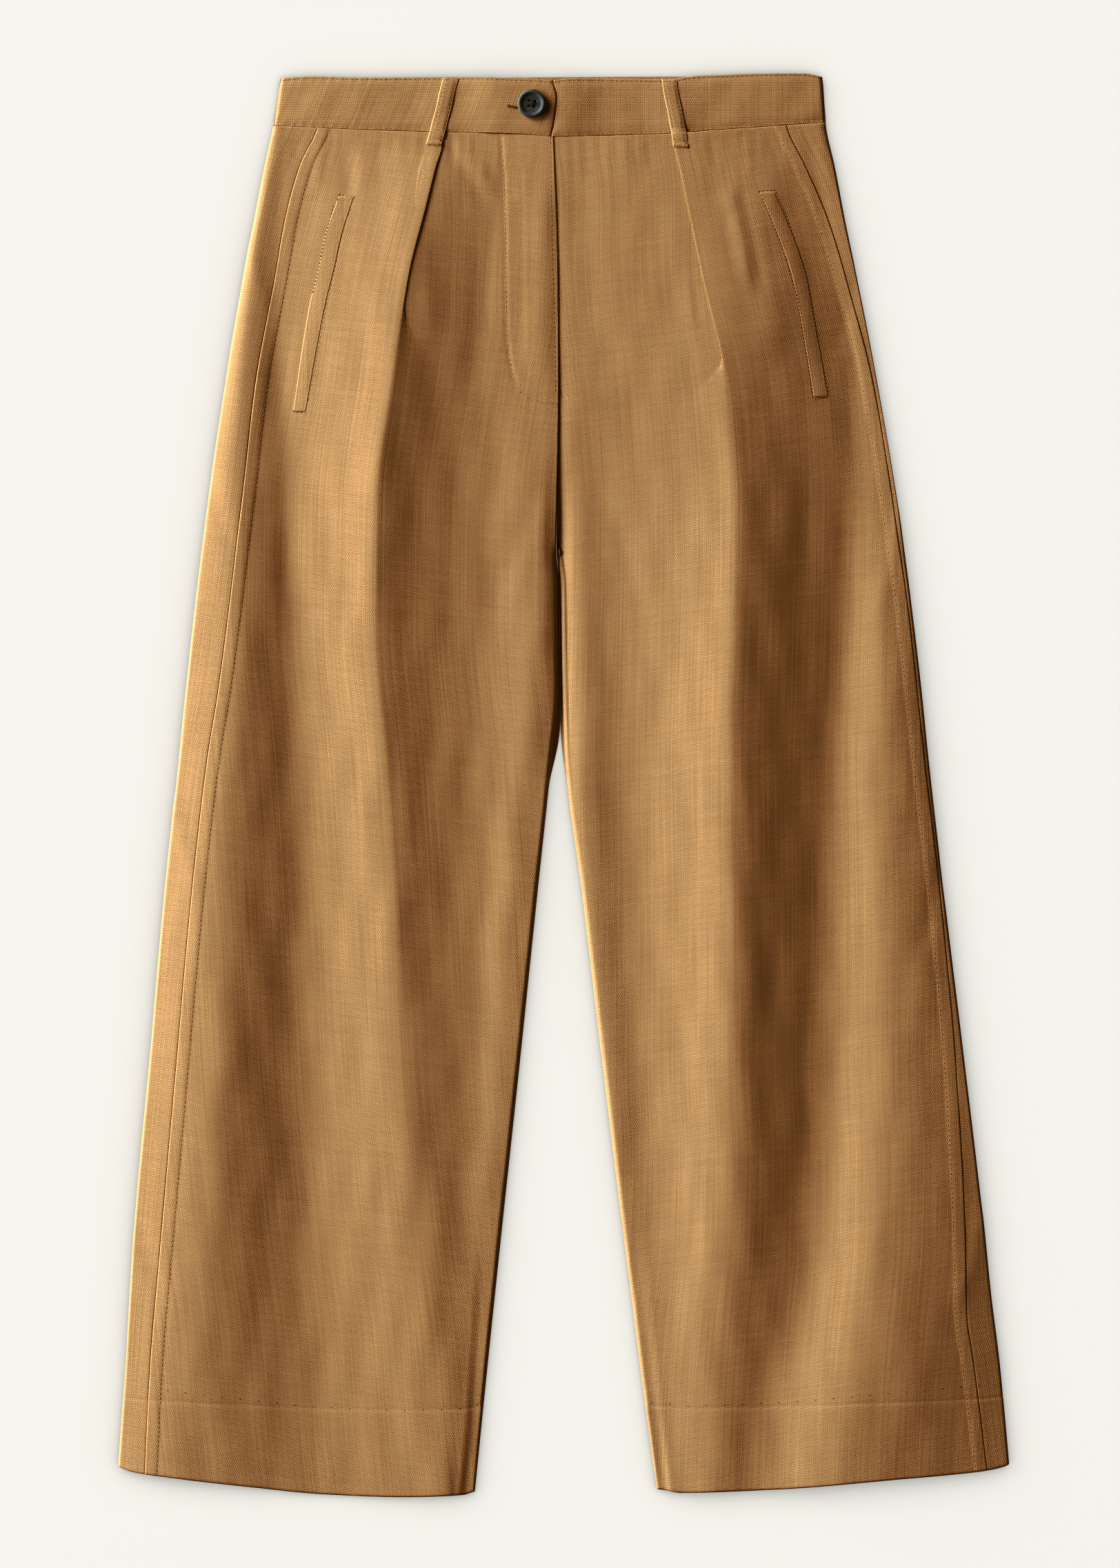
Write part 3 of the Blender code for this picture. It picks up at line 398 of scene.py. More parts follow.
def backPoint(leg, down, column):
    kind, share, unused = column
    middle = edgeMiddle(down)
    edge = leg.edge(down)
    if kind == "floor":
        return mix(backInner(leg, down) + garment["seamGap"] / 2, edge - middle, share), 0.0 * down
    if kind == "underRoll":
        angle = np.pi / 2 * share
        return edge - middle + middle * np.sin(angle), middle - middle * np.cos(angle)
    end = leg.seam(down) + garment["seamGap"] / 2
    if kind == "seam":
        across = end + share * np.minimum(1.0, (edge - end) / (2 * backGrid["toSeamStart"]))
    else:
        start = np.minimum(backGrid["toSeamStart"], 0.5 * (edge - end))
        across = mix(edge, end + start, 1 - np.cos(np.pi / 2 * share))
    return across, frontHeight(leg, down, across)


def seamGapsAt(x, height):  # the waist seam runs lower on the front than on the back
    share = np.minimum(height / (2 * edgeMiddle(garment["waistSeam"])), 1.0)
    return mix(backWaist(x), frontWaist(x), share)


def rowStations(step, extra):
    first, last = garment["waistSeam"], garment["hem"]
    stations = list(np.linspace(first, last, int((last - first) / step)))
    for centre, offsets in extra:
        stations = [s for s in stations if abs(s - centre) > max(abs(o) for o in offsets) + 0.4 * step]
        stations += [centre + offset for offset in offsets]
    return np.array(sorted(stations))


hemStitchDown = garment["hem"] - garment["hemDepth"]
fineRows = [(garment["waistSeam"], [0, 0.3, 0.8, 1.5, 2.5, 4.0]),
            (hemStitchDown, [-3.5, -2.0, -1.0, 0, 1.0, 2.0, 3.5]),
            (garment["hem"], [-4.0, -2.5, -1.5, -0.8, -0.3, 0])]


def layPanel(leg, point, columns, rows, front):  # arrays of x, down and height, rows by columns
    shape = (len(rows), len(columns))
    xs, downs, heights = np.zeros(shape), np.zeros(shape), np.zeros(shape)
    waistShare = 1 - between((garment["waistSeam"], garment["waistSeam"] + garment["waistReach"]), rows)
    hemShare = between((garment["hem"] - garment["hemReach"], garment["hem"]), rows)
    for index, column in enumerate(columns):
        down = rows.copy()
        for _ in range(3):
            across, height = point(leg, down, column)
            x = leg.sign * across
            seam = frontWaist(x) if front else seamGapsAt(x, height)
            bend = (seam + garment["seamGap"] / 2 - garment["waistSeam"]) * waistShare
            down = rows + bend + (hemLine(x) - garment["hem"]) * hemShare
        xs[:, index], downs[:, index], heights[:, index] = x, down, height
    return xs, downs, heights


def distanceTo(points, x, down):  # distance to a line of (x, down) points, and the share along it
    points = np.array(points, float)
    lengths = np.hypot(*np.diff(points, axis=0).T)
    starts = np.concatenate([[0], np.cumsum(lengths)])
    best = np.full(x.shape, 1e9)
    along = np.zeros(x.shape)
    for i, length in enumerate(lengths):
        (ax, ay), (bx, by) = points[i], points[i + 1]
        t = ((x - ax) * (bx - ax) + (down - ay) * (by - ay)) / length ** 2
        t = np.clip(t, 0.0, 1.0)
        gap = np.hypot(x - mix(ax, bx, t), down - mix(ay, by, t))
        near = gap < best
        best = np.where(near, gap, best)
        along = np.where(near, (starts[i] + t * length) / starts[-1], along)
    return best, along


# Lines of topstitching on the fronts: (x, down), read off the picture at 0.475 mm to a pixel
stitching = {
    "pitch": 3.3, "length": 2.2, "thickness": 0.34, "grooveWidth": 1.3, "grooveDepth": 0.14,
    "fromSeam": 8.2, "seamEnds": (41, 975), "aboveHem": 1.5,
}
flyStitch = [(-43.7, 41), (-41.8, 65), (-40.4, 109), (-39.9, 158), (-39.0, 182), (-36.2, 202),
             (-33.2, 213), (-29.4, 218), (-25.2, 221), (-20.9, 223.2), (-12.8, 224.6), (-5.5, 224.9)]
flyEdgeStitch = [(-9.5, 42), (-8.6, 110), (-6.6, 180), (-6.2, 216)]
flyRidge = [(-27.6, 44), (-26.1, 110), (-24.9, 180), (-24.5, 206)]  # the layer under the fly shows
flyBorder = curveThrough([(down, x) for x, down in flyStitch])


def seamStitch(leg):  # a line beside the side seam, on the front
    points = [(leg.sign * (float(leg.seam(down)) - stitching["fromSeam"]), float(down))
              for down in np.linspace(*stitching["seamEnds"], 60)]
    return [(x, down) for x, down in points if down < float(hemLine(x)) - stitching["aboveHem"]]


def hemStitch(leg):  # a line across the front above the hem
    low, high = float(leg.inner(hemStitchDown)) + 4, float(leg.seam(hemStitchDown)) - 1
    xs = leg.sign * np.linspace(low, high, 40)
    return [(float(x), float(hemStitchDown + hemLine(x) - garment["hem"])) for x in xs]


# Soft creases: (x, down) points, half width, height, with 0 at both ends
creases = [
    # the left front: the broad shoulder beyond the pleat, with a ridge and a trough on it
    ([(121, 50), (134, 95), (144, 137), (147, 165), (142, 205)], 22.0, 1.15),
    ([(111, 66), (121, 110), (128, 150)], 5.5, 0.45), ([(122, 76), (131, 118), (137, 158)], 5.0, -0.4),
    ([(129, 73), (119, 90), (108, 106)], 4.0, -0.2), ([(89, 140), (93, 158), (94, 172)], 3.0, -0.25),
    # the right front: slanting from the loop towards the fly
    ([(-87, 44), (-70, 62), (-58, 80), (-50, 92)], 5.5, -0.5), ([(-79, 42), (-62, 60), (-44, 82)], 5.0, 0.32),
    ([(-57, 66), (-44, 76), (-31, 84)], 4.5, -0.25), ([(-77, 42), (-75, 62)], 3.0, -0.16),
    ([(-62, 90), (-61, 150), (-56, 225)], 10.0, -0.15), ([(-17, 55), (-15, 130), (-14, 225)], 9.0, 0.55),
    # under the band
    ([(-183, 40), (-186, 66)], 4.5, -0.2), ([(-168, 42), (-170, 82)], 5.0, 0.22),
    ([(-150, 42), (-148, 75), (-152, 100)], 5.0, -0.25), ([(-139, 42), (-141, 85)], 5.0, 0.25),
    ([(-128, 42), (-126, 80)], 4.5, -0.2), ([(-113, 42), (-111, 68)], 4.5, 0.16),
    ([(-99, 42), (-96, 60)], 3.5, -0.15), ([(18, 44), (20, 72)], 4.5, -0.16),
    ([(43, 43), (46, 80)], 5.5, 0.2), ([(59, 43), (60, 66)], 4.0, -0.16),
    ([(101, 40), (104, 62)], 4.0, -0.16), ([(124, 39), (131, 68)], 4.5, 0.22),
    ([(141, 37), (149, 64)], 4.5, -0.22), ([(160, 36), (166, 58)], 4.0, 0.15),
    ([(31, 66), (29, 120), (32, 195)], 8.0, 0.25), ([(53, 100), (55, 162)], 6.0, -0.22),
    # drawn out of the crotch
    ([(-8, 262), (-24, 300), (-44, 352), (-52, 400)], 6.5, -0.15),
    ([(-14, 300), (-30, 350), (-40, 410)], 6.0, 0.1),
    ([(12, 258), (30, 296), (50, 352), (60, 430)], 7.0, -0.2), ([(14, 306), (28, 352), (38, 420)], 6.0, 0.15),
    # along the legs
    ([(-206, 250), (-199, 330), (-203, 398)], 8.0, 0.35), ([(-150, 236), (-146, 320), (-150, 392)], 8.0, -0.3),
    ([(-207, 430), (-197, 520), (-200, 610)], 9.0, 0.35), ([(-95, 540), (-99, 620), (-94, 700)], 10.0, -0.35),
    ([(-233, 640), (-238, 720), (-236, 812)], 9.0, 0.3), ([(-158, 724), (-150, 800), (-152, 880)], 9.0, 0.3),
    ([(168, 230), (165, 330), (158, 402)], 9.0, -0.35), ([(205, 440), (211, 520), (214, 618)], 8.0, 0.3),
    ([(72, 470), (75, 540), (72, 622)], 10.0, 0.35), ([(146, 560), (141, 660), (144, 742)], 9.0, -0.35),
    ([(100, 780), (95, 850), (98, 916)], 8.0, 0.3), ([(190, 640), (187, 700), (191, 776)], 8.0, -0.3),
    # over the outer edges, on the backs as well
    ([(-222, 96), (-214, 130), (-204, 168)], 5.5, 0.28), ([(-246, 262), (-238, 300), (-226, 334)], 5.5, -0.28),
    ([(-272, 486), (-262, 530), (-248, 570)], 6.0, 0.3), ([(-300, 760), (-290, 800), (-274, 850)], 6.5, -0.3),
    ([(204, 122), (197, 160), (184, 196)], 5.5, -0.25), ([(232, 290), (224, 340), (212, 380)], 6.0, 0.28),
    ([(262, 530), (252, 580), (240, 612)], 6.0, -0.3), ([(290, 770), (280, 820), (264, 856)], 6.5, 0.3),
]


def unevenness(x, down, seed, amount):  # broad, faint waves that run mostly down the leg
    rng = np.random.default_rng(seed)
    total = np.zeros(x.shape)
    for _ in range(26):
        wavelength = rng.uniform(22, 90)
        turn = rng.normal(0, 0.45)
        phase = rng.uniform(0, 2 * math.pi)
        kx, kd = math.cos(turn) / wavelength, math.sin(turn) / wavelength
        total += rng.uniform(0.4, 1.0) * np.sin(2 * math.pi * (kx * x + kd * down) + phase)
    return amount * total / math.sqrt(26 / 2)


def creaseHeight(x, down, lines):
    total = np.zeros(x.shape)
    for points, width, height in lines:
        gap, along = distanceTo(points, x, down)
        taper = ease(np.minimum(along, 1 - along) * 4)
        total += height * bell(gap, width) * taper
    return total


def edgeDrop(distance, radius, drop):  # a rounded shoulder down to a panel's edge
    share = np.clip(1 - distance / radius, 0.0, 1.0)
    return drop * (1 - np.sqrt(np.maximum(1 - share ** 2, 0.0)))


crevice = {  # (down, depth, width): the left leg lies lower along the fly and the centre seam
    "right": [(30, 0.0, 4.0), (226, 0.0, 4.0), (290, 0.15, 5.0), (335, 0.5, 5.0), (380, 0.5, 5.0),
              (430, 0.3, 4.0), (500, 0.0, 4.0), (980, 0.0, 4.0)],
    "left": [(0, 0.3, 4.5), (41, 0.3, 4.5), (137, 0.45, 4.5), (213, 0.75, 5.0), (245, 1.3, 6.0),
             (290, 3.0, 8.0), (322, 3.8, 9.0), (350, 2.8, 10.0), (380, 2.6, 10.5), (430, 2.2, 10.0),
             (480, 1.1, 8.0), (530, 0.3, 6.0), (580, 0.0, 5.0), (980, 0.0, 5.0)],
}
creviceDepth = {side: curveThrough(rows, 1) for side, rows in crevice.items()}
creviceWidth = {side: curveThrough(rows, 2) for side, rows in crevice.items()}
surfaceDetail = {
    "seamLayer": 0.25, "flyLayer": 0.22, "flyGroove": 0.26, "flyRidge": 0.1, "hemLayer": 0.08,
    "edgeRadius": 0.7, "edgeDrop": 0.4, "hemRadius": 1.5, "hemDrop": 0.8, "waves": 0.16,
    "waistPucker": 0.1, "waistPuckerPitch": 9.5, "waistPuckerReach": 26.0,
}
weaveTilt = 0.13


def groove(gap):  # where a line of stitches sinks into the cloth
    return stitching["grooveDepth"] * bell(gap, stitching["grooveWidth"])


def hemMark(fromHem):  # the turned-up layer, and the stitches that hold it
    depth = garment["hemDepth"]
    layer = 1 - between((depth - 1.0, depth + 1.0), fromHem)
    return surfaceDetail["hemLayer"] * layer - groove(fromHem - depth)


def fromEnds(rows, x):  # distances from the waist seam and from the hem
    rows = np.repeat(rows[:, None], x.shape[1], 1)
    return rows - garment["waistSeam"], garment["hem"] - rows


def frontRelief(leg, x, down, rows, columns):
    d = surfaceDetail
    across = leg.sign * x
    fromSeam = leg.seam(down) - garment["seamGap"] / 2 - across
    fromInner = across - innerEdge(leg, down)
    fromWaist, fromHem = fromEnds(rows, x)
    overlapped = flyLapped(down)
    offset = stitching["fromSeam"]
    relief = unevenness(x, down, 11 if leg is rightLeg else 12, d["waves"]) * between((0, 60), fromWaist)
    relief += d["seamLayer"] * (1 - between((offset - 0.6, offset + 1.4), fromSeam))
    relief += hemMark(fromHem) - groove(fromSeam - offset)
    wave = wobble(x, d["waistPuckerPitch"], 1.3, 11.0) * (0.6 + 0.4 * np.sin(x / 17.0))
    wave *= np.exp(-fromWaist / d["waistPuckerReach"]) * between((0, 6), fromWaist)
    relief += d["waistPucker"] * wave
    if leg is rightLeg:
        gap, along = distanceTo(flyStitch, x, down)
        inside = np.where((x > flyBorder(down)) & (down < flyStitch[-1][1]), gap, -gap)
        relief += d["flyLayer"] * between((-0.6, 1.6), inside) * overlapped
        relief -= d["flyGroove"] * bell(gap + 0.3, 1.5)
        relief -= 0.4 * groove(distanceTo(flyEdgeStitch, x, down)[0])
        gap, along = distanceTo(flyRidge, x, down)
        relief += d["flyRidge"] * bell(gap, 1.8) * ease(np.minimum(along, 1 - along) * 6)
    relief += creaseHeight(x, down, creases)
    relief -= edgeDrop(fromSeam, d["edgeRadius"], d["edgeDrop"])
    relief -= edgeDrop(fromWaist, d["edgeRadius"], 0.5 * d["edgeDrop"])
    relief -= edgeDrop(fromHem, d["hemRadius"], d["hemDrop"])
    shown = across - leg.inner(down) - garment["seamGap"] / 2
    depth = creviceDepth[leg.side](down)
    if leg is rightLeg:
        relief -= overlapped * edgeDrop(fromInner, d["edgeRadius"], d["edgeDrop"])
    else:
        relief *= 1 - overlapped * (1 - between((0, 8), shown))
        underlap = []  # the columns that lie under the right front's lap
        for kind, share, unused in columns:
            under = 1 - float(between((7.55, 8.1), share)) if kind == "inner" else 0.0
            underlap.append(1.0 if kind in ("roll", "foot") else under)
        relief -= overlapped * (garment["flyLap"] - depth) * np.array(underlap)
    relief -= depth * np.exp(-(np.maximum(shown, 0) / creviceWidth[leg.side](down)) ** 1.6)
    parted = legParted(rows)
    for index, (kind, share, unused) in enumerate(columns):
        if kind in ("roll", "foot"):
            relief[:, index] *= mix(1.0, 1 - share if kind == "roll" else 0.0, parted)
        if kind == "foot" and leg is rightLeg:  # the seam's edge comes down to the lower left front
            relief[:, index] -= creviceDepth["left"](rows) * (1 - overlapped[:, index]) * (1 - parted)
    return relief


def backRelief(leg, x, down, rows, columns):
    d = surfaceDetail
    fromSeam = leg.sign * x - leg.seam(down) - garment["seamGap"] / 2
    fromWaist, fromHem = fromEnds(rows, x)
    upper = np.array([1.0 if kind in ("wrap", "seam") else 0.0 for kind, share, unused in columns])
    relief = unevenness(x, down, 21 if leg is rightLeg else 22, d["waves"]) * between((0, 30), fromSeam)
    relief = relief * between((0, 60), fromWaist) + creaseHeight(x, down, creases) + hemMark(fromHem)
    relief -= edgeDrop(fromSeam, d["edgeRadius"], d["edgeDrop"] * 0.7)
    relief -= edgeDrop(fromWaist, d["edgeRadius"], d["edgeDrop"])
    relief -= edgeDrop(fromHem, d["hemRadius"], d["hemDrop"])
    return upper * relief


def surfaceNormals(points, outward):
    alongRows = np.gradient(points, axis=1)
    downRows = np.gradient(points, axis=0)
    normals = np.cross(downRows, alongRows) if outward else np.cross(alongRows, downRows)
    return normals / np.maximum(np.linalg.norm(normals, axis=2, keepdims=True), 1e-9)


def closedShell(name, points, walls, uv, rightwards, material):
    # an outer sheet, an inner sheet its wall away, and the rims between them
    rows, columns = points.shape[:2]
    normals = surfaceNormals(points, rightwards)
    inner = points - normals * walls[:, :, None]
    count = rows * columns
    corner = (np.arange(rows - 1)[:, None] * columns + np.arange(columns - 1)[None, :]).ravel()
    quad = np.stack([corner, corner + columns, corner + columns + 1, corner + 1], axis=1)
    outerFaces = quad if rightwards else quad[:, ::-1]
    innerFaces = outerFaces[:, ::-1] + count
    loop = list(range(columns))
    loop += [i * columns + columns - 1 for i in range(1, rows)]
    loop += [(rows - 1) * columns + i for i in range(columns - 2, -1, -1)]
    loop += [i * columns for i in range(rows - 2, 0, -1)]
    loop = np.array(loop)
    after = np.roll(loop, -1)
    rim = np.stack([loop, after, after + count, loop + count], axis=1)
    rimFaces = rim if rightwards else rim[:, ::-1]
    place = np.array([garment["centreFromMiddle"], garment["waistAboveMiddle"], 0.0])
    vertices = (np.concatenate([points.reshape(-1, 3), inner.reshape(-1, 3)]) + place) * mm
    faces = np.concatenate([outerFaces, innerFaces, rimFaces])
    mesh = bpy.data.meshes.new(name)
    mesh.from_pydata(vertices.tolist(), [], faces.tolist())
    mesh.shade_smooth()
    layer = mesh.uv_layers.new(name="cloth")
    both = np.concatenate([uv.reshape(-1, 2), uv.reshape(-1, 2)]) * mm
    index = np.zeros(len(mesh.loops), np.int32)
    mesh.loops.foreach_get("vertex_index", index)
    layer.data.foreach_set("uv", both[index].astype(np.float32).ravel())
    mesh.materials.append(material)
    return newObject(name, mesh)


def lengthAlong(points):  # along each row, from its first point
    steps = np.linalg.norm(np.diff(points, axis=1), axis=2)
    return np.concatenate([np.zeros((len(points), 1)), np.cumsum(steps, axis=1)], axis=1)


def clothSheet(name, leg, point, columns, step, front):
    rows = rowStations(step, fineRows)
    x, down, height = layPanel(leg, point, columns, rows, front)
    walls = np.repeat(wallAt(rows)[:, None], x.shape[1], 1)
    points = np.stack([x, -down, height], axis=2)
    normals = surfaceNormals(points, leg.sign < 0)
    zeroColumn = len(columns) - 1  # where the weave's own measure starts
    if front:
        # the closed tuck's layers are thin, so that they stay under the fold, and carry its edge's relief
        zeroColumn = [column[0] for column in columns].index("turn")
        closed = (1 - between(leg.pleat["opens"], rows))[:, None]
        thin, carried = [], []
        for kind, share, unused in columns:
            tucked, centre = kind in ("turn", "unturn"), float(kind == "centre")
            layered = min(1.0, tuck["turnThins"] * share) if kind == "turn" else float(tucked)
            thin.append(layered + centre * max(0.0, 1 - tuck["thinned"] * share))
            carried.append(tucked + centre * max(0.0, 1 - tuck["carried"] * share))
        walls = mix(walls, tuck["wall"], np.array(thin) * closed)
        carried = np.array(carried) * closed
        relief = frontRelief(leg, x, down, rows, columns)
        relief = mix(relief, relief[:, zeroColumn:zeroColumn + 1], carried)
        normals = mix(normals, np.array([0.0, 0.0, 1.0]), carried[:, :, None])
        points = points + normals * relief[:, :, None]
    else:
        points = points + normals * backRelief(leg, x, down, rows, columns)[:, :, None]
        points[:, :, 2] = np.maximum(points[:, :, 2], 0.0)
    along = lengthAlong(points)
    u = -leg.sign * (along - along[:, zeroColumn:zeroColumn + 1])
    uv = np.stack([u, down + weaveTilt * leg.sign * u], axis=2)
    return closedShell(name, points, walls, uv, leg.sign < 0, clothMaterial)


band = {
    "wall": 1.9, "height": 5.0, "lapHeight": 6.7, "underlapHeight": 4.3, "underlapEnd": -39.0,
    "lapRise": (-78.0, -46.0), "underlapRise": (0.0, 30.0), "pleatBump": 1.0, "pleatSpread": 15.0,
    "bumpFade": 0.6, "roll": 2.5, "runColumns": 110, "backColumns": 16, "rollColumns": 10,
    "besideLap": [-0.9, -0.5, -0.35, -0.22, -0.1, 0.06, 0.4, 1.0, 1.8, 2.8], "pad": 0.3,
    "stitchInset": 1.5, "stitchGroove": 0.16, "pucker": 0.1, "puckerPitch": 6.7, "lapFill": 2.35,
    "sideFall": 1.3, "fallFrom": 120.0, "fallReach": 72.0,
    "rows": [0, 0.012, 0.03, 0.045, 0.062, 0.08, 0.11, 0.16, 0.23, 0.31, 0.4, 0.5, 0.6, 0.69, 0.77, 0.84,
             0.89, 0.92, 0.938, 0.955, 0.97, 0.988, 1],
}
lapEndAt = curveThrough([(-2, -5.2), (3, -7.1), (13, -4.75), (25, -5.7), (41, -8.5)])  # (down, x)


def bandBump(x, share):
    bumps = 0.0
    for leg in (rightLeg, leftLeg):
        pleat = leg.sign * float(leg.foldAt(mainCrest, garment["waistSeam"])[0])
        bumps = bumps + math.exp(-((x - pleat) / band["pleatSpread"]) ** 2)
    return band["pleatBump"] * bumps * (1 - band["bumpFade"] * share)


def bandRing(share):  # round the band, from its under end by the left side and the back to its lap
    down = mix(frontWaistRows[0][1], frontTopRows[0][1], share)
    roll = band["roll"]
    leftSide = float(leftLeg.edge(down)) - roll
    rightSide = roll - float(rightLeg.edge(down))
    lapEnd = float(lapEndAt(mix(41, 2, share)))
    ring = []
    beside = [lapEnd + offset for offset in band["besideLap"]]
    run = list(np.linspace(band["underlapEnd"], beside[0] - 1.5, 24)) + beside
    run += list(np.linspace(beside[-1] + 1.5, leftSide, band["runColumns"] - len(run) + 1))[:-1]
    for x in run:
        rise = float(between(band["underlapRise"], x))
        ring.append((x, mix(band["underlapHeight"], band["height"], rise) + bandBump(x, share) * rise))
    for i in range(band["rollColumns"]):
        angle = math.pi * i / band["rollColumns"]
        ring.append((leftSide + roll * math.sin(angle), roll * (1 + math.cos(angle))))
    for i in range(band["backColumns"]):
        ring.append((mix(leftSide, rightSide, i / band["backColumns"]), 0.0))
    for i in range(band["rollColumns"]):
        angle = math.pi * i / band["rollColumns"]
        ring.append((rightSide - roll * math.sin(angle), roll * (1 - math.cos(angle))))
    for i in range(band["runColumns"] + 1):
        x = mix(rightSide, lapEnd, i / band["runColumns"])
        lapped = float(between(band["lapRise"], x))
        ring.append((x, mix(band["height"], band["lapHeight"], lapped) + bandBump(x, share) * (1 - lapped)))
    points = []
    for x, height in ring:
        if height > roll:  # the front falls away towards the sides
            fall = max(0.0, (abs(x) - band["fallFrom"]) / band["fallReach"]) ** 2
            height -= min(height - roll, band["sideFall"]) * fall
        frontness = min(height / band["height"], 1.0)
        if x < band["underlapRise"][1] and height > roll:
            frontness = 1.0
        low = mix(float(backWaist(x)), float(frontWaist(x)), frontness) - garment["seamGap"] / 2
        high = mix(float(backTop(x)), float(frontTop(x)), frontness)
        points.append((x, -mix(low, high, share), height))
    return points


def makeWaistband():
    shares = [1 - share for share in band["rows"]]
    points = np.array([bandRing(share) for share in shares])
    rows, columns = points.shape[:2]
    normals = surfaceNormals(points, True)
    width = np.linalg.norm(points[0] - points[-1], axis=1)[None, :]
    fromEdge = np.minimum(np.array(band["rows"])[:, None], np.array(shares)[:, None]) * width
    along = lengthAlong(points)
    toEnd = np.minimum(along, along[:, -1:] - along)
    inset = band["stitchInset"]
    onTop = between((1.2, 3.6), points[:, :, 2])
    relief = band["pad"] * between((inset, inset + 5), fromEdge)
    relief -= band["stitchGroove"] * (bell(fromEdge - inset, 0.9) + bell(toEnd - inset, 0.9))
    wave = wobble(along, band["puckerPitch"], 1.7, 19.0) * (0.55 + 0.45 * np.sin(along / 31.0))
    relief += band["pucker"] * wave * np.exp(-fromEdge / 6.0)
    relief += unevenness(along, -points[:, :, 1] * 2.2, 31, 0.2) * between((0, 8), fromEdge)
    relief -= edgeDrop(fromEdge, 0.6, 0.2)
    relief -= edgeDrop(toEnd, 0.8, 0.4)
    x = points[:, :, 0]
    beyondLap = x - lapEndAt(-points[:, :, 1])
    underLap = (along < along[:, -1:] / 2) * (1 - between(band["underlapRise"], x))
    relief = np.where(underLap > 0, relief * between((0, 4), beyondLap), relief)
    relief += underLap * band["lapFill"] * between((-0.5, 0.08), beyondLap)
    points = points + normals * (relief * onTop)[:, :, None]
    points[:, :, 2] = np.maximum(points[:, :, 2], 0.0)
    walls = np.full((rows, columns), band["wall"])
    uv = np.stack([along, 2000 - points[:, :, 1]], axis=2)
    return closedShell("band_cloth", points, walls, uv, True, clothMaterial)


def surfaceOver(pieces):  # the top of the given pieces, in millimetres, at x and down
    trees = []
    for piece in pieces:
        points = [vertex.co for vertex in piece.data.vertices]
        trees.append(BVHTree.FromPolygons(points, [face.vertices for face in piece.data.polygons]))

    def height(x, down):
        start = Vector(inPlace(x, down, 100))
        hits = [tree.ray_cast(start, Vector((0, 0, -1))) for tree in trees]
        return max([hit[0].z / mm for hit in hits if hit[0]] + [0.0])

    return height


beltLoop = {
    "width": 11.0, "wall": 0.26, "bow": 0.15, "lift": 0.02, "columns": 14, "rows": 64, "clears": 2,
    "pad": 0.12, "stitchGroove": 0.18, "endFold": 0.35,
    "places": [(-77.7, 0.9, -89.5, 47.5), (72.4, 1.9, 80.8, 49.0)],
}


def makeBeltLoop(name, place, surface):
    topX, topDown, bottomX, bottomDown = place
    b = beltLoop
    length = math.hypot(bottomX - topX, bottomDown - topDown)
    rows, columns = b["rows"], b["columns"]
    base = np.zeros((rows + 1, columns + 1))
    for i in range(rows + 1):
        down, middle = mix(topDown, bottomDown, i / rows), mix(topX, bottomX, i / rows)
        for j in range(columns + 1):
            x = middle + (j / columns - 0.5) * b["width"]
            base[i, j] = surface(x, min(max(down, topDown + 1.5), bottomDown))
    span = range(2 * b["clears"] + 1)
    for settle in (np.max, np.mean):  # clear of what lies under it, then smooth
        padded = np.pad(base, b["clears"], mode="edge")
        base = settle([padded[i:i + rows + 1, j:j + columns + 1] for i in span for j in span], axis=0)
    points, uv = np.zeros((rows + 1, columns + 1, 3)), np.zeros((rows + 1, columns + 1, 2))
    for i in range(rows + 1):
        share = i / rows
        down, middle = mix(topDown, bottomDown, share), mix(topX, bottomX, share)
        ends = min(share, 1 - share) * length
        body = b["lift"] + b["wall"] + b["bow"] * math.sin(math.pi * share)
        for j in range(columns + 1):
            across = mix(-0.5, 0.5, j / columns)
            side = (0.5 - abs(across)) * b["width"]
            relief = b["pad"] * float(between((1.2, 3.5), side)) * float(between((0, 4), ends))
            relief -= b["stitchGroove"] * bell(side - 1.7, 0.6)
            relief -= float(edgeDrop(side, 1.3, 0.3)) + float(edgeDrop(ends, 0.9, 0.3))
            if share > 0.5:
                relief += b["endFold"] * (bell(ends - 1.8, 1.2) - bell(ends - 4.4, 0.9))
            wander = 0.12 * math.sin(share * 17 + j) + 0.18 * math.sin(share * 7.3 + topX)
            points[i, j] = (middle + across * b["width"] + wander, -down - across * 1.3, base[i, j] + body + relief)
            uv[i, j] = (across * b["width"] + 700 + topX, share * length)
    walls = np.full((rows + 1, columns + 1), b["wall"])
    return closedShell(name, points, walls, uv, True, clothMaterial)


welt = {
    "wall": 0.06, "lift": 0.01, "relief": 0.05, "rows": 90, "columns": 14,
    "right": [(82, 155.0, 144.4), (110, 164.8, 153.2), (131, 168.8, 157.8), (157, 175.3, 164.2),
              (231, 186.7, 178.0)],
    "left": [(79, 144.4, 134.4), (103, 155.0, 145.0), (137, 167.0, 157.0), (165, 172.2, 162.6),
             (221, 181.9, 172.0)],
}


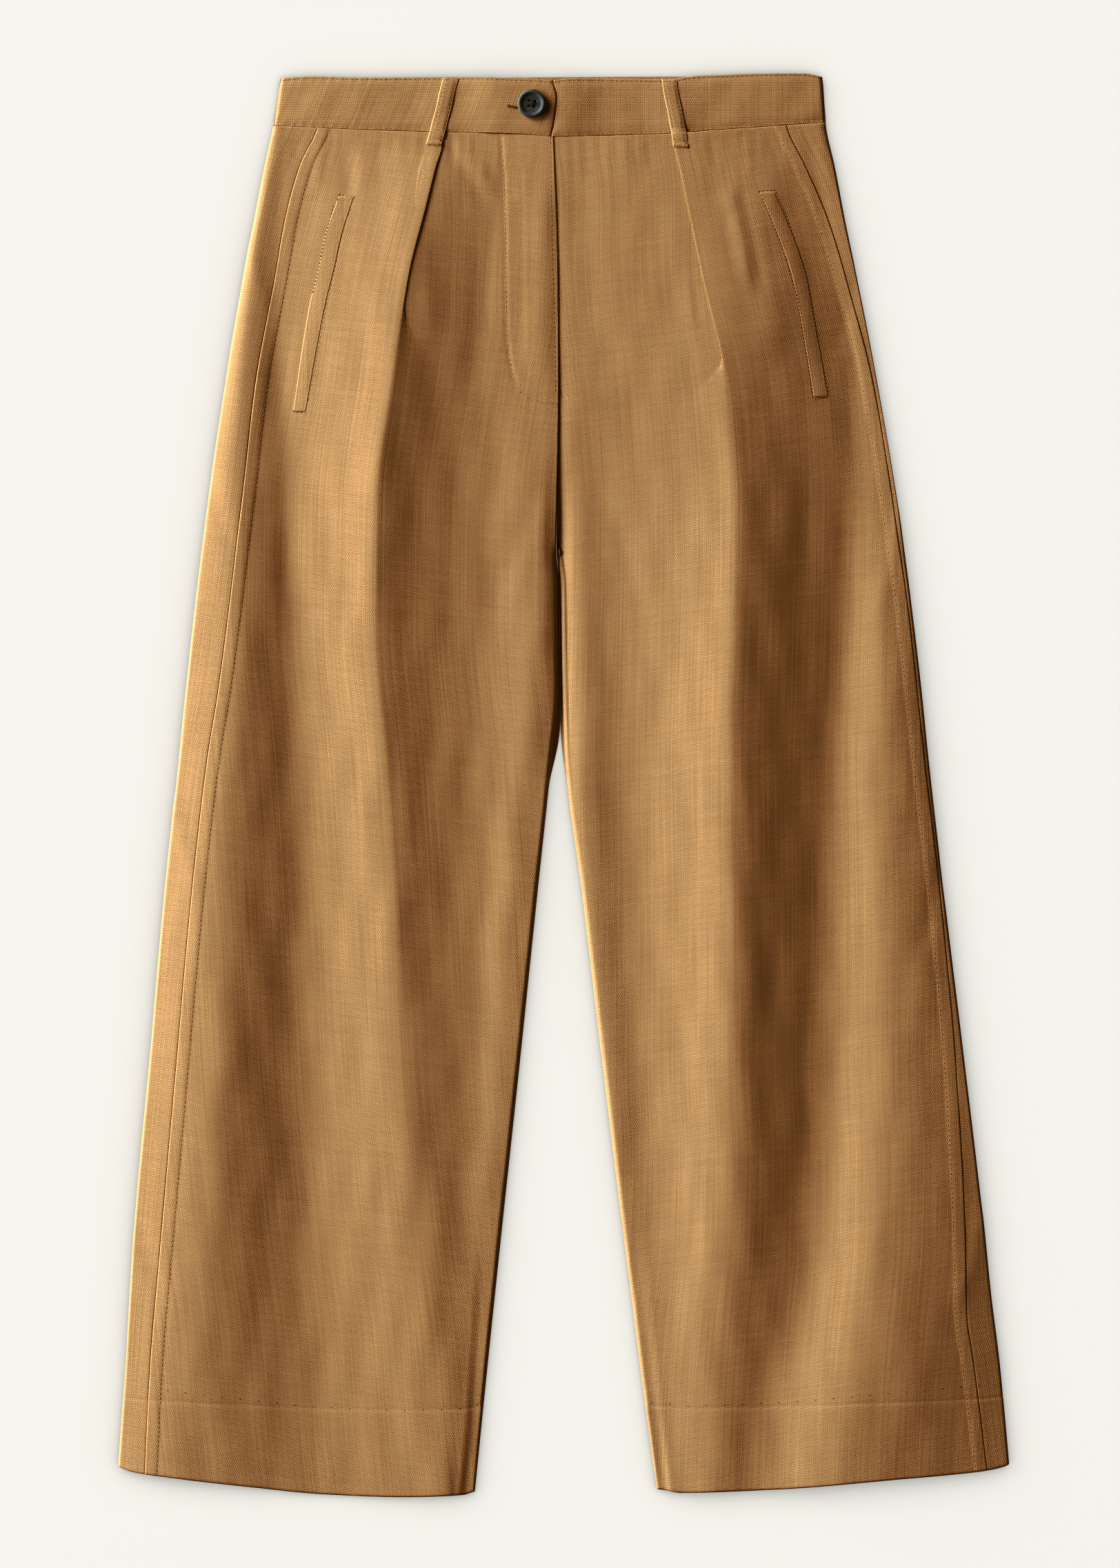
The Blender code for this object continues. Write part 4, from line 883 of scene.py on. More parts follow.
def makePocketWelt(name, leg, table, surface):
    outer, inner = curveThrough(table, 1), curveThrough(table, 2)
    rows, columns = welt["rows"], welt["columns"]
    points, uv = np.zeros((rows + 1, columns + 1, 3)), np.zeros((rows + 1, columns + 1, 2))
    top, bottom = table[0][0], table[-1][0]
    for i in range(rows + 1):
        share = i / rows
        down = mix(top, bottom, share)
        low, high = float(outer(down)), float(inner(down))
        ends = min(share, 1 - share) * (bottom - top)
        for j in range(columns + 1):
            across = mix(low, high, j / columns)
            side = min(low - across, across - high)
            relief = float(between((1.0, 3.5), side)) - bell(side - 1.6, 0.6)
            relief = welt["relief"] * (relief - float(edgeDrop(side, 1.0, 1.0) + edgeDrop(ends, 1.0, 1.0)))
            x = leg.sign * across
            points[i, j] = (x, -down, surface(x, down) + welt["lift"] + welt["wall"] + relief)
            uv[i, j] = (x + 900, down + 0.35 * x)
    walls = np.full((rows + 1, columns + 1), welt["wall"])
    return closedShell(name, points, walls, uv, leg.sign < 0, clothMaterial)


button = {
    "diameter": 19.6, "x": -22.3, "down": 18.5, "height": 3.8, "holeDiameter": 2.0, "holeSpacing": 3.6,
    "turn": -8.0, "segments": 96, "thread": 0.6,
    "profile": [(0.0, 0.60), (0.3, 0.61), (0.56, 0.63), (0.66, 0.67), (0.72, 0.76), (0.77, 0.85), (0.82, 0.88),
                (0.89, 0.87), (0.94, 0.82), (0.98, 0.72), (1.0, 0.58), (0.995, 0.42), (0.94, 0.26),
                (0.82, 0.08), (0.66, 0.0), (0.0, 0.0)],
}


def makeButton(base):
    b = button
    radius = b["diameter"] / 2
    mesh = bmesh.new()
    rings = []
    for share, height in b["profile"]:
        if share == 0:
            rings.append([mesh.verts.new((0, 0, height * b["height"] * mm))])
            continue
        ring = []
        for i in range(b["segments"]):
            angle = 2 * math.pi * i / b["segments"]
            x, y = radius * share * math.cos(angle), radius * share * math.sin(angle)
            ring.append(mesh.verts.new((x * mm, y * mm, height * b["height"] * mm)))
        rings.append(ring)
    for upper, lower in zip(rings, rings[1:]):
        for i in range(b["segments"]):
            j = (i + 1) % b["segments"]
            if len(upper) == 1:
                mesh.faces.new((upper[0], lower[i], lower[j]))
            elif len(lower) == 1:
                mesh.faces.new((upper[j], upper[i], lower[0]))
            else:
                mesh.faces.new((upper[i], lower[i], lower[j], upper[j]))
    data = bpy.data.meshes.new("button_disc")
    mesh.to_mesh(data)
    mesh.free()
    disc = newObject("button_disc", data)
    half = b["holeSpacing"] / 2
    drills = []
    for x in (-half, half):
        for y in (-half, half):
            bpy.ops.mesh.primitive_cylinder_add(vertices=28, radius=b["holeDiameter"] / 2 * mm, depth=0.02,
                                                location=(x * mm, y * mm, 0))
            drill = bpy.context.object
            cut = disc.modifiers.new("hole", "BOOLEAN")
            cut.operation = "DIFFERENCE"
            cut.object = drill
            drills.append(drill)
    bevel = disc.modifiers.new("softEdge", "BEVEL")
    bevel.width = 0.18 * mm
    bevel.segments = 2
    bevel.angle_limit = math.radians(50)
    made = plainMesh(disc)
    disc.modifiers.clear()
    disc.data = made
    for drill in drills:
        bpy.data.objects.remove(drill, do_unlink=True)
    seat = Matrix.Translation(Vector(inPlace(b["x"], b["down"], base)))
    made.transform(seat @ Matrix.Rotation(math.radians(b["turn"]), 4, "Z"))
    made.shade_smooth()
    made.materials.clear()
    made.materials.append(buttonMaterial)
    return disc


def makeButtonThread(base):  # a cross of thread over the four holes
    b = button
    turn = math.radians(b["turn"])
    strands = []
    half = b["holeSpacing"] / 2
    for first, second in (((-half, -half), (half, half)), ((-half, half), (half, -half))):
        for shift in (-0.3, 0.3):
            points = []
            for i in range(17):
                t = i / 16
                x, y = mix(first[0], second[0], t), mix(first[1], second[1], t)
                length = math.hypot(second[0] - first[0], second[1] - first[1])
                x += shift * (second[1] - first[1]) / length
                y -= shift * (second[0] - first[0]) / length
                lift = 0.62 * b["height"] + 0.75 * math.sin(math.pi * t) ** 0.5 - 1.3 * (abs(2 * t - 1) > 0.97)
                points.append((x * math.cos(turn) - y * math.sin(turn),
                               x * math.sin(turn) + y * math.cos(turn), lift))
            strands.append(points)
    curve = bpy.data.curves.new("button_thread", "CURVE")
    curve.dimensions = "3D"
    curve.bevel_depth = b["thread"] / 2 * 0.62 * mm
    curve.bevel_resolution = 2
    curve.use_fill_caps = True
    for points in strands:
        spline = curve.splines.new("POLY")
        spline.points.add(len(points) - 1)
        for point, (x, y, z) in zip(spline.points, points):
            point.co = (*inPlace(b["x"] + x, b["down"] - y, base + z), 1)
    holder = newObject("button_thread_curve", curve)
    mesh = plainMesh(holder)
    bpy.data.objects.remove(holder, do_unlink=True)
    mesh.shade_smooth()
    mesh.materials.clear()
    mesh.materials.append(buttonThreadMaterial)
    return newObject("button_thread", mesh)


def weaveGroup():
    # Threads from the cloth's own UV map in metres: heights, and masks for gaps, slubs and single threads
    tree = bpy.data.node_groups.new("linenWeave", "ShaderNodeTree")
    for name, default in (("Warp Pitch", 0.73), ("Weft Pitch", 1.16), ("Wander", 0.16)):
        socket = tree.interface.new_socket(name, in_out="INPUT", socket_type="NodeSocketFloat")
        socket.default_value = default
    tree.interface.new_socket("Vector", in_out="INPUT", socket_type="NodeSocketVector")
    for name in ("Height", "Gap", "Grain", "Slub", "Cloud"):
        tree.interface.new_socket(name, in_out="OUTPUT", socket_type="NodeSocketFloat")
    g = Graph(tree)
    source = g.add("NodeGroupInput")
    target = g.add("NodeGroupOutput")
    scaled = g.vector("SCALE", source.outputs["Vector"], scale=1000.0)
    split = g.add("ShaderNodeSeparateXYZ", Vector=scaled)
    u, v = split.outputs["X"], split.outputs["Y"]
    wander = g.times(source.outputs["Wander"], 6.0)
    slowNoise = g.noise(g.vector("MULTIPLY", scaled, (0.045, 0.03, 0.0)), 3.0)
    crossNoise = g.noise(g.vector("MULTIPLY_ADD", scaled, (0.03, 0.045, 0.0), (31.0, 17.0, 0.0)), 3.0)
    warp, weft = [
        g.plus(g.maths("DIVIDE", place, source.outputs[pitch]), g.times(g.minus(noise, 0.5), wander))
        for place, pitch, noise in ((u, "Warp Pitch", slowNoise), (v, "Weft Pitch", crossNoise))]
    warpIndex, weftIndex = g.maths("ROUND", warp), g.maths("ROUND", weft)
    warpPlace, weftPlace = g.minus(warp, warpIndex), g.minus(weft, weftIndex)
    weftSign = g.maths("COSINE", g.times(weftIndex, math.pi))
    over = g.times(g.maths("COSINE", g.times(warp, math.pi)), weftSign)
    over = g.plus(0.5, g.times(over, 0.5))  # 1 where the weft is on top
    warpRound = g.round(warpPlace, 2.1)
    weftRound = g.round(weftPlace, 2.1)
    weftHeight = g.times(weftRound, g.plus(0.3, g.times(over, 0.7)))
    warpHeight = g.times(warpRound, g.minus(0.62, g.times(over, 0.55)))
    height = g.maths("MAXIMUM", weftHeight, warpHeight)
    grainIndex = g.maths("FLOOR", g.times(g.plus(warp, weftIndex), 0.5))
    cell = g.add("ShaderNodeCombineXYZ", X=grainIndex, Y=weftIndex)
    perCell = g.add("ShaderNodeTexWhiteNoise", noise_dimensions="2D", Vector=cell.outputs[0]).outputs["Value"]
    perWarp = g.add("ShaderNodeTexWhiteNoise", noise_dimensions="1D", W=warpIndex).outputs["Value"]
    perWeft = g.add("ShaderNodeTexWhiteNoise", noise_dimensions="1D", W=weftIndex).outputs["Value"]
    slubAcross = g.noise(g.vector("MULTIPLY", scaled, (0.03, 0.55, 0.0)), 4.0)
    slubDown = g.noise(g.vector("MULTIPLY_ADD", scaled, (0.75, 0.011, 0.0), (7.0, 3.0, 0.0)), 4.0)
    slub = g.plus(g.times(slubAcross, 0.28), g.times(slubDown, 0.72))
    thread = g.plus(g.times(perWarp, 0.7), g.times(perWeft, 0.3))
    cloud = g.noise(g.vector("MULTIPLY", scaled, (0.03, 0.03, 0.0)), 3.0)
    grain = g.plus(g.times(perCell, 0.25), g.times(thread, 0.75))
    # the gap mask, deeper between the warp threads, sets where the cloth colour gets painted shade
    column = g.plus(0.68, g.times(g.round(warpPlace, 1.9), 0.32))
    gap = g.minus(1.0, g.times(height, column), clamp=True)
    for name, value in (("Height", height), ("Gap", gap), ("Grain", grain), ("Slub", slub), ("Cloud", cloud)):
        g.link(value, target.inputs[name])
    return tree


class Graph:  # short calls that add and join nodes
    def __init__(self, tree):
        self.tree = tree
        self.across = 0

    def link(self, source, target):
        self.tree.links.new(source, target)

    def put(self, value, socket):
        if isinstance(value, bpy.types.NodeSocket):
            self.link(value, socket)
        elif value is not None:
            socket.default_value = value

    def add(self, kind, **inputs):
        node = self.tree.nodes.new(kind)
        self.across += 180
        node.location = (self.across, 0)
        for name, value in inputs.items():
            if hasattr(node, name) and name not in node.inputs:
                setattr(node, name, value)
            else:
                self.put(value, node.inputs[name])
        return node

    def maths(self, operation, first, second=None, clamp=False):
        node = self.add("ShaderNodeMath", operation=operation, use_clamp=clamp)
        for value, socket in zip((first, second), node.inputs):
            self.put(value, socket)
        return node.outputs[0]

    def plus(self, first, second):
        return self.maths("ADD", first, second)

    def minus(self, first, second, clamp=False):
        return self.maths("SUBTRACT", first, second, clamp)

    def times(self, first, second):
        return self.maths("MULTIPLY", first, second)

    def vector(self, operation, first, second=None, third=None, scale=None):
        node = self.add("ShaderNodeVectorMath", operation=operation)
        for value, socket in zip((first, second, third, scale), node.inputs):
            self.put(value, socket)
        return node.outputs[0]

    def noise(self, vector, detail):
        return self.add("ShaderNodeTexNoise", noise_dimensions="2D", Vector=vector, Scale=1.0,
                        Detail=detail).outputs[0]

    def round(self, place, narrow):  # the round top of a thread, from -0.5 to 0.5 across it
        squared = self.maths("POWER", self.maths("ABSOLUTE", self.times(place, narrow)), 2.0)
        return self.maths("SQRT", self.maths("MAXIMUM", self.minus(1.0, squared), 0.0))

    def mixColour(self, blend, factor, first, second):
        node = self.add("ShaderNodeMix", data_type="RGBA", blend_type=blend)
        for index, value in ((0, factor), (6, first), (7, second)):
            self.put(value, node.inputs[index])
        return node.outputs[2]

    def ramp(self, value, stops):
        node = self.add("ShaderNodeMapRange", interpolation_type="SMOOTHSTEP", Value=value)
        for name, number in zip(("From Min", "From Max", "To Min", "To Max"), stops):
            node.inputs[name].default_value = number
        return node.outputs["Result"]


def newMaterial(name):
    material = bpy.data.materials.new(name)
    material.use_nodes = True
    material.node_tree.nodes.clear()
    g = Graph(material.node_tree)
    shader = g.add("ShaderNodeBsdfPrincipled")
    g.add("ShaderNodeOutputMaterial", Surface=shader.outputs[0])
    return material, g, shader


cloth = {
    "colour": (0.60, 0.405, 0.208, 1), "gapShadeColour": (0.21, 0.105, 0.04, 1), "lightThread": (0.72, 0.51, 0.285, 1),
    "darkThread": (0.43, 0.265, 0.12, 1), "roughness": 0.8, "sheen": 0.15, "bump": 0.17, "gapShadeShare": 0.95,
}


def makeClothMaterial():
    material, g, shader = newMaterial("tobaccoLinen")
    uv = g.add("ShaderNodeUVMap", uv_map="cloth")
    weave = g.tree.nodes.new("ShaderNodeGroup")
    weave.node_tree = linenWeave
    g.link(uv.outputs[0], weave.inputs["Vector"])
    light = g.ramp(weave.outputs["Grain"], (0.5, 0.95, 0.0, 0.3))
    dark = g.ramp(weave.outputs["Grain"], (0.05, 0.5, 0.3, 0.0))
    colour = g.mixColour("MIX", light, cloth["colour"], cloth["lightThread"])
    colour = g.mixColour("MIX", dark, colour, cloth["darkThread"])
    # painted shade: the gaps between the threads are darkened towards a deep brown in the base colour
    gap = g.times(g.maths("POWER", weave.outputs["Gap"], 1.3), cloth["gapShadeShare"])
    colour = g.mixColour("MIX", gap, colour, cloth["gapShadeColour"])
    slubTone = g.plus(0.955, g.times(g.ramp(weave.outputs["Slub"], (0.32, 0.68, 0.0, 1.0)), 0.125))
    cloudTone = g.plus(0.99, g.times(weave.outputs["Cloud"], 0.05))
    tone = g.times(slubTone, cloudTone)
    toneColour = g.add("ShaderNodeCombineColor", Red=tone, Green=tone, Blue=tone)
    colour = g.mixColour("MULTIPLY", 1.0, colour, toneColour.outputs[0])
    g.link(colour, shader.inputs["Base Color"])
    shader.inputs["Roughness"].default_value = cloth["roughness"]
    shader.inputs["Specular IOR Level"].default_value = 0.45
    shader.inputs["Sheen Weight"].default_value = cloth["sheen"]
    shader.inputs["Sheen Roughness"].default_value = 0.5
    threadHeight = g.plus(g.times(weave.outputs["Height"], 0.7), g.times(weave.outputs["Slub"], 0.55))
    bump = g.add("ShaderNodeBump", Height=threadHeight, Strength=1.0, Distance=cloth["bump"] * mm)
    g.link(bump.outputs["Normal"], shader.inputs["Normal"])
    return material


def makeThreadMaterial(name, colour, twist):
    material, g, shader = newMaterial(name)
    place = g.add("ShaderNodeTexCoord").outputs["Object"]
    fibre = g.add("ShaderNodeTexNoise", Vector=place, Scale=2600.0, Detail=2.0)
    value = g.ramp(fibre.outputs[0], (0.3, 0.7, 0.75, 1.2))
    toned = g.add("ShaderNodeCombineColor", Red=value, Green=value, Blue=value)
    g.link(g.mixColour("MULTIPLY", 1.0, colour, toned.outputs[0]), shader.inputs["Base Color"])
    shader.inputs["Roughness"].default_value = 0.7
    bump = g.add("ShaderNodeBump", Height=fibre.outputs[0], Distance=twist * mm)
    g.link(bump.outputs["Normal"], shader.inputs["Normal"])
    return material


def makeButtonMaterial():
    material, g, shader = newMaterial("slateButton")
    place = g.add("ShaderNodeTexCoord").outputs["Object"]
    marble = g.add("ShaderNodeTexNoise", Vector=place, Scale=260.0, Detail=5.0)
    share = g.ramp(marble.outputs[0], (0.35, 0.68, 0.0, 1.0))
    colour = g.mixColour("MIX", share, (0.085, 0.105, 0.09, 1), (0.118, 0.146, 0.125, 1))
    g.link(colour, shader.inputs["Base Color"])
    scratch = g.add("ShaderNodeTexNoise", Vector=place, Scale=1500.0)
    g.link(g.ramp(scratch.outputs[0], (0.2, 0.8, 0.5, 0.66)), shader.inputs["Roughness"])
    bump = g.add("ShaderNodeBump", Height=scratch.outputs[0], Distance=0.02 * mm)
    g.link(bump.outputs["Normal"], shader.inputs["Normal"])
    return material


def stitchTree():  # stitches that follow the edges of a line, each sunk ends first in the cloth
    tree = bpy.data.node_groups.new("stitchesAlongLines", "GeometryNodeTree")
    tree.interface.new_socket("Geometry", in_out="INPUT", socket_type="NodeSocketGeometry")
    sockets = {}
    for name, default in (("Pitch", 0.0033), ("Length", 0.0024), ("Thickness", 0.0004), ("Uneven", 0.12)):
        sockets[name] = tree.interface.new_socket(name, in_out="INPUT", socket_type="NodeSocketFloat")
        sockets[name].default_value = default
    sockets["Seed"] = tree.interface.new_socket("Seed", in_out="INPUT", socket_type="NodeSocketInt")
    sockets["Thread"] = tree.interface.new_socket("Thread", in_out="INPUT", socket_type="NodeSocketMaterial")
    tree.interface.new_socket("Geometry", in_out="OUTPUT", socket_type="NodeSocketGeometry")
    g = Graph(tree)
    source, target = g.add("NodeGroupInput"), g.add("NodeGroupOutput")
    line = g.add("GeometryNodeMeshToCurve", Mesh=source.outputs["Geometry"])
    spaced = g.add("GeometryNodeResampleCurve", Curve=line.outputs[0])
    spaced.mode = "LENGTH"
    g.link(source.outputs["Pitch"], spaced.inputs["Length"])
    points = g.add("GeometryNodeCurveToPoints", Curve=spaced.outputs[0])
    points.mode = "EVALUATED"
    turn = g.add("FunctionNodeAlignEulerToVector", axis="X")
    g.link(points.outputs["Tangent"], turn.inputs["Vector"])
    thread = g.add("GeometryNodeMeshUVSphere", Segments=8, Rings=5, Radius=0.5)
    unevenLength = g.add("FunctionNodeRandomValue", data_type="FLOAT")
    g.link(g.minus(1.0, source.outputs["Uneven"]), unevenLength.inputs[2])
    g.link(g.plus(1.0, source.outputs["Uneven"]), unevenLength.inputs[3])
    g.link(source.outputs["Seed"], unevenLength.inputs["Seed"])
    size = g.add("ShaderNodeCombineXYZ")
    g.link(g.times(source.outputs["Length"], unevenLength.outputs[1]), size.inputs["X"])
    g.link(source.outputs["Thickness"], size.inputs["Y"])
    g.link(source.outputs["Thickness"], size.inputs["Z"])
    placed = g.add("GeometryNodeInstanceOnPoints", Points=points.outputs[0], Instance=thread.outputs["Mesh"])
    g.link(turn.outputs[0], placed.inputs["Rotation"])
    g.link(size.outputs[0], placed.inputs["Scale"])
    real = g.add("GeometryNodeRealizeInstances", Geometry=placed.outputs[0])
    smooth = g.add("GeometryNodeSetShadeSmooth", Geometry=real.outputs[0])
    painted = g.add("GeometryNodeSetMaterial", Geometry=smooth.outputs[0])
    g.link(source.outputs["Thread"], painted.inputs["Material"])
    g.link(painted.outputs[0], target.inputs[0])
    return tree, sockets


def stitchLines(name, lines, surface, size, seed, thread):
    # lines are lists of (x, down), laid on the surface; the size is pitch, length and thickness
    vertices, edges = [], []
    for line in lines:
        line = np.array(line, float)
        starts = np.concatenate([[0], np.cumsum(np.hypot(*np.diff(line, axis=0).T))])
        count = max(2, int(starts[-1] / 2.0))
        at = np.linspace(0, starts[-1], count)
        xs, downs = np.interp(at, starts, line[:, 0]), np.interp(at, starts, line[:, 1])
        first = len(vertices)
        for x, down in zip(xs, downs):
            vertices.append(inPlace(x, down, surface(float(x), float(down))))
        edges += [(first + i, first + i + 1) for i in range(count - 1)]
    mesh = bpy.data.meshes.new(name)
    mesh.from_pydata(vertices, edges, [])
    piece = newObject(name, mesh)
    modifier = piece.modifiers.new("stitches", "NODES")
    modifier.node_group = stitchNodes
    pitch, length, thickness = size
    values = {"Pitch": pitch * mm, "Length": length * mm, "Thickness": thickness * mm, "Uneven": 0.12,
              "Seed": seed, "Thread": thread}
    for label, value in values.items():
        modifier[stitchSockets[label].identifier] = value
    made = plainMesh(piece)
    piece.modifiers.clear()
    piece.data = made
    return piece


linenWeave = weaveGroup()
clothMaterial = makeClothMaterial()
buttonMaterial = makeButtonMaterial()
seamThreadMaterial = makeThreadMaterial("seamThread", (0.36, 0.215, 0.10, 1), 0.06)
# painted shade: a near-black brown thread colour stands in for the shade in the hem's stitch holes, along the
# welts' openings and in the buttonhole's slit
shadeThreadMaterial = makeThreadMaterial("paintedShadeThread", (0.16, 0.085, 0.035, 1), 0.06)
buttonThreadMaterial = makeThreadMaterial("buttonThread", (0.06, 0.075, 0.064, 1), 0.06)
stitchNodes, stitchSockets = stitchTree()
print("materials made")

legs = (("right", rightLeg), ("left", leftLeg))
panels, loops, welts = {}, {}, {}
for side, leg in legs:
    for part, point, columns, grid in (("back", backPoint, backColumns(), backGrid),
                                       ("front", frontPoint, frontColumns(), frontGrid)):
        name = part + "_" + side
        panels[name] = clothSheet(name + "_cloth", leg, point, columns, grid["rowStep"], part == "front")
print("legs laid")

waistband = makeWaistband()
topSurface = surfaceOver([waistband] + list(panels.values()))
for (side, leg), place in zip(legs, beltLoop["places"]):
    loops[side] = makeBeltLoop("loop_" + side, place, topSurface)
for side, leg in legs:
    welts[side] = makePocketWelt("welt_" + side, leg, welt[side], topSurface)
buttonBase = topSurface(button["x"], button["down"]) + 0.15
disc = makeButton(buttonBase)
buttonThread = makeButtonThread(buttonBase)
print("band, loops, welts and button made")

finalSurface = surfaceOver([waistband] + list(panels.values()) + list(loops.values()) + list(welts.values()))
inset = band["stitchInset"]
bandXs = np.linspace(-193, float(lapEndAt(20)) - 1.5, 120)
rightOfLap = np.linspace(float(lapEndAt(20)) + 1.5, 175, 120)
bandLines = []
for xs in (bandXs, rightOfLap):
    bandLines.append([(float(x), float(frontTop(x)) + inset) for x in xs])
    bandLines.append([(float(x), float(frontWaist(x)) - inset) for x in xs])
lapStitch = [(float(lapEndAt(d)) - inset, float(d)) for d in np.linspace(4.5, 37.5, 20)]
loopLines = []
for topX, topDown, bottomX, bottomDown in beltLoop["places"]:
    for side in (-3.6, 3.6):
        loopLines.append([(topX + side, topDown + 1.5), (bottomX + side, bottomDown - 1)])
weltLines = [  # read off the picture; the line along each welt's outer, open side paints the pocket opening's shadow in dark thread, the others are stitches
    [(-159.1, 89.3), (-164.8, 110.7), (-169.1, 132.1), (-173.0, 148.0)], [(-154.9, 81.2), (-144.4, 83.1)],
    [(-154.9, 81.2), (-156.0, 84.6)], [(-186.7, 229.9), (-178.1, 231.8)],
    [(145.8, 79.8), (153.9, 98.8), (166.3, 136.8), (172.9, 174.8), (181.5, 215.2), (181.0, 220.4),
     (172.9, 222.3)],
    [(134.4, 79.3), (149.2, 115.4), (160.1, 151.1), (165.3, 184.3), (171.0, 219.9)],
    [(134.4, 78.9), (144.4, 78.1)],
]
softWeltLines = [[(-147.0, 91.7), (-151.0, 99.8), (-157.7, 131.1), (-163.9, 158.2), (-176.0, 222.0)]]
slitLine = [(-38.6, 20.1), (-35.2, 20.8), (-26.0, 21.6)]  # the buttonhole's open end, beside the button, filled with dark thread as painted shade
slitRims = [[(x, down - 0.75) for x, down in slitLine], [(x, down + 0.75) for x, down in slitLine],
            [(-38.9, 19.3), (-39.2, 20.1), (-38.9, 20.9)]]
seamSize = [stitching[key] for key in ("pitch", "length", "thickness")]
stitchPieces = []
for name, lines, size, seed, thread in (
        ("stitches_band", bandLines + [lapStitch], seamSize, 3, seamThreadMaterial),
        ("stitches_fly", [flyStitch, flyEdgeStitch], seamSize, 4, seamThreadMaterial),
        ("stitches_sides", [seamStitch(leg) for side, leg in legs], seamSize, 5, seamThreadMaterial),
        ("stitches_hems", [hemStitch(leg) for side, leg in legs], (12.0, 1.3, 0.5), 6, shadeThreadMaterial),
        ("stitches_loops", loopLines, (2.8, 1.9, stitching["thickness"]), 7, seamThreadMaterial),
        ("welt_stitches_and_shade", weltLines, (2.5, 1.7, 0.42), 8, shadeThreadMaterial),
        ("stitches_welt_side", softWeltLines, (3.3, 2.0, 0.3), 9, seamThreadMaterial),
        ("buttonhole_slit", [slitLine], (1.0, 2.2, 0.85), 10, shadeThreadMaterial),
        ("buttonhole_rim", slitRims, (0.55, 0.8, 0.5), 11, seamThreadMaterial)):
    stitchPieces.append(stitchLines(name, lines, finalSurface, size, seed, thread))
print("stitches sewn")

light = {
    "strength": 7.15, "fromLeft": 55.0, "elevation": 16.5, "spread": 38.0,
    "sideStrength": 4.0, "sideFromLeft": 82.0, "sideDistance": 2.0, "fill": 0.14,
    "fillColour": (1.0, 0.97, 0.93, 1), "gamma": 0.65, "floorReach": 0.03, "floorShade": 0.6,
}
tone = {  # the camera's colour grade: (value in, value out) for each colour
    "red": [(0.159, 0.136), (0.287, 0.254), (0.387, 0.387), (0.46, 0.457), (0.542, 0.527), (0.609, 0.576),
        (0.689, 0.64), (0.762, 0.717), (0.865, 0.858)],
    "green": [(0.101, 0.065), (0.188, 0.13), (0.232, 0.184), (0.257, 0.221), (0.306, 0.279), (0.358, 0.338),
        (0.403, 0.382), (0.455, 0.43), (0.505, 0.489), (0.594, 0.594)],
    "blue": [(0.053, 0.018), (0.101, 0.047), (0.123, 0.078), (0.138, 0.101), (0.165, 0.138), (0.191, 0.169),
        (0.218, 0.197), (0.246, 0.229), (0.272, 0.267), (0.348, 0.348)],
}
view = {"x": -2.45, "y": 0.7, "height": 11000.0, "seenHeight": 1080.15}

bpy.ops.mesh.primitive_plane_add(size=12, location=(0, 0, -0.0002))
floor = bpy.context.object
floor.name = "floor"
floorMaterial = bpy.data.materials.new("paleFloor")
floorMaterial.use_nodes = True
floorShader = floorMaterial.node_tree.nodes["Principled BSDF"]
floorShader.inputs["Base Color"].default_value = (0.04, 0.04, 0.04, 1)
floorGraph = Graph(floorMaterial.node_tree)
hidden = floorGraph.add("ShaderNodeAmbientOcclusion")  # painted shade: the floor's glow is darkened close round the cloth
hidden.inputs["Distance"].default_value = light["floorReach"]
shade = floorGraph.maths("POWER", hidden.outputs["AO"], light["floorShade"])
# the painted shade is weaker in red, which evens out the camera's grade
redShade = floorGraph.maths("POWER", hidden.outputs["AO"], 0.8 * light["floorShade"])
shaded = floorGraph.add("ShaderNodeCombineColor", Red=redShade, Green=shade, Blue=shade)
floorGraph.link(floorGraph.mixColour("MULTIPLY", 1.0, (0.900, 0.883, 0.842, 1), shaded.outputs[0]),
                floorShader.inputs["Emission Color"])
floorShader.inputs["Emission Strength"].default_value = 1.0
floorShader.inputs["Roughness"].default_value = 0.9
floorShader.inputs["Specular IOR Level"].default_value = 0.1
floor.data.materials.append(floorMaterial)
floor.visible_diffuse = False  # its glow stays off the cloth


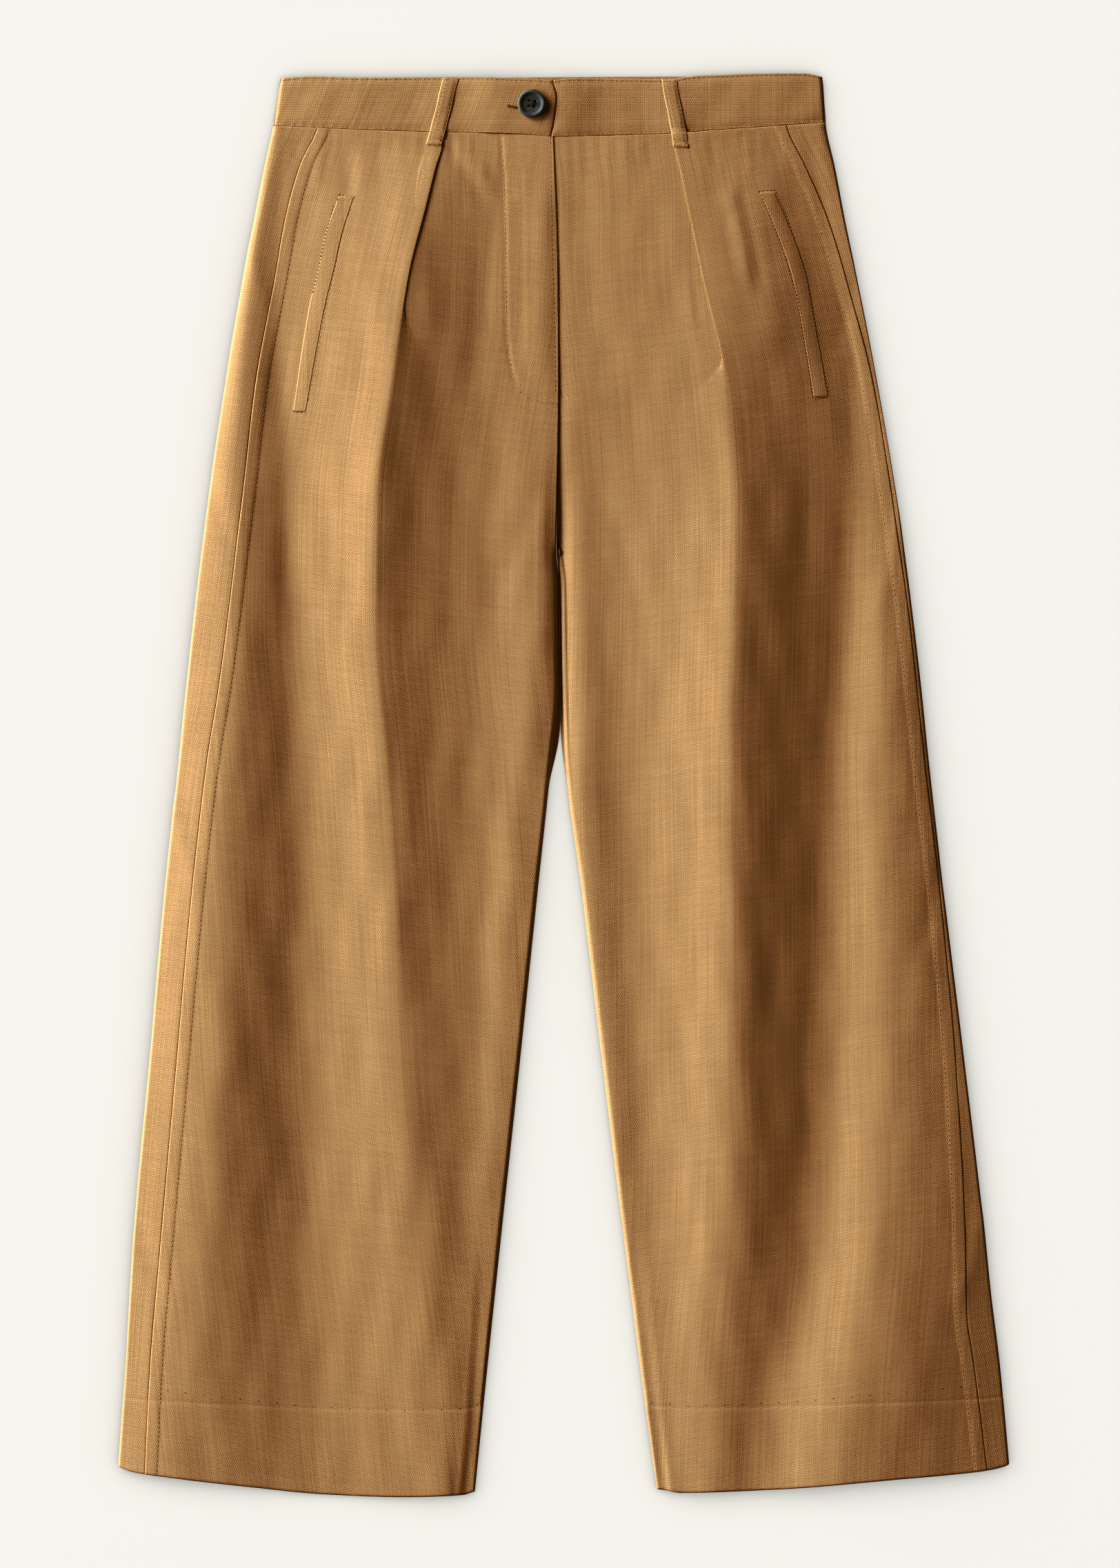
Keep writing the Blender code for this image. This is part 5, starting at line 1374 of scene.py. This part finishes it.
def aimLamp(name, lamp, fromLeft, distance):  # at the middle of the garment
    azimuth, elevation = math.radians(fromLeft), math.radians(light["elevation"])
    level = math.cos(elevation)
    away = Vector((-math.sin(azimuth) * level, math.cos(azimuth) * level, math.sin(elevation)))
    holder = newObject(name, lamp)
    holder.location = away * distance
    holder.rotation_mode = "QUATERNION"
    holder.rotation_quaternion = away.to_track_quat("Z", "Y")


softKey = bpy.data.lights.new("softKey", "SUN")
softKey.angle = math.radians(light["spread"])
softKey.energy = light["strength"]
aimLamp("softKey", softKey, light["fromLeft"], 3)
sideKey = bpy.data.lights.new("sideKey", "AREA")
sideKey.shape = "DISK"
sideKey.size = 2 * light["sideDistance"] * math.tan(math.radians(light["spread"] / 2))
sideKey.energy = light["sideStrength"] * math.pi * light["sideDistance"] ** 2
aimLamp("sideKey", sideKey, light["sideFromLeft"], light["sideDistance"])

world = bpy.data.worlds.new("studio")
bpy.context.scene.world = world
world.use_nodes = True
world.node_tree.nodes["Background"].inputs["Color"].default_value = light["fillColour"]
world.node_tree.nodes["Background"].inputs["Strength"].default_value = light["fill"]

scene = bpy.context.scene
scene.view_settings.view_transform = "Standard"
scene.view_settings.look = "None"
scene.view_settings.gamma = light["gamma"]
scene.view_settings.use_curve_mapping = True
grade = scene.view_settings.curve_mapping
for channel, points in zip(grade.curves, tone.values()):
    for x, y in points:
        channel.points.new(x, y)
grade.update()

lens = bpy.data.cameras.new("camera")
lens.sensor_fit = "AUTO"
lens.sensor_width = 36.0
lens.lens = 36.0 * view["height"] / view["seenHeight"]
lens.clip_start, lens.clip_end = 0.1, 20
camera = newObject("camera", lens)
camera.location = (view["x"] * mm, view["y"] * mm, view["height"] * mm)
scene.camera = camera
print("light and camera set")

for name, panel in panels.items():
    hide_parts(name)
    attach(panel, "root")
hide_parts("waistband")
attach(waistband, "root")
for side in ("right", "left"):
    for piece, node, flat in ((loops[side], "belt_loop_" + side, (0.011, 0.048)),
                              (welts[side], "pocket_welt_" + side, (0.011, 0.155))):
        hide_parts(node)
        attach(piece, "root")
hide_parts("button")
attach(disc, "root")
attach(buttonThread, "root")
for piece in stitchPieces:
    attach(piece, "root")
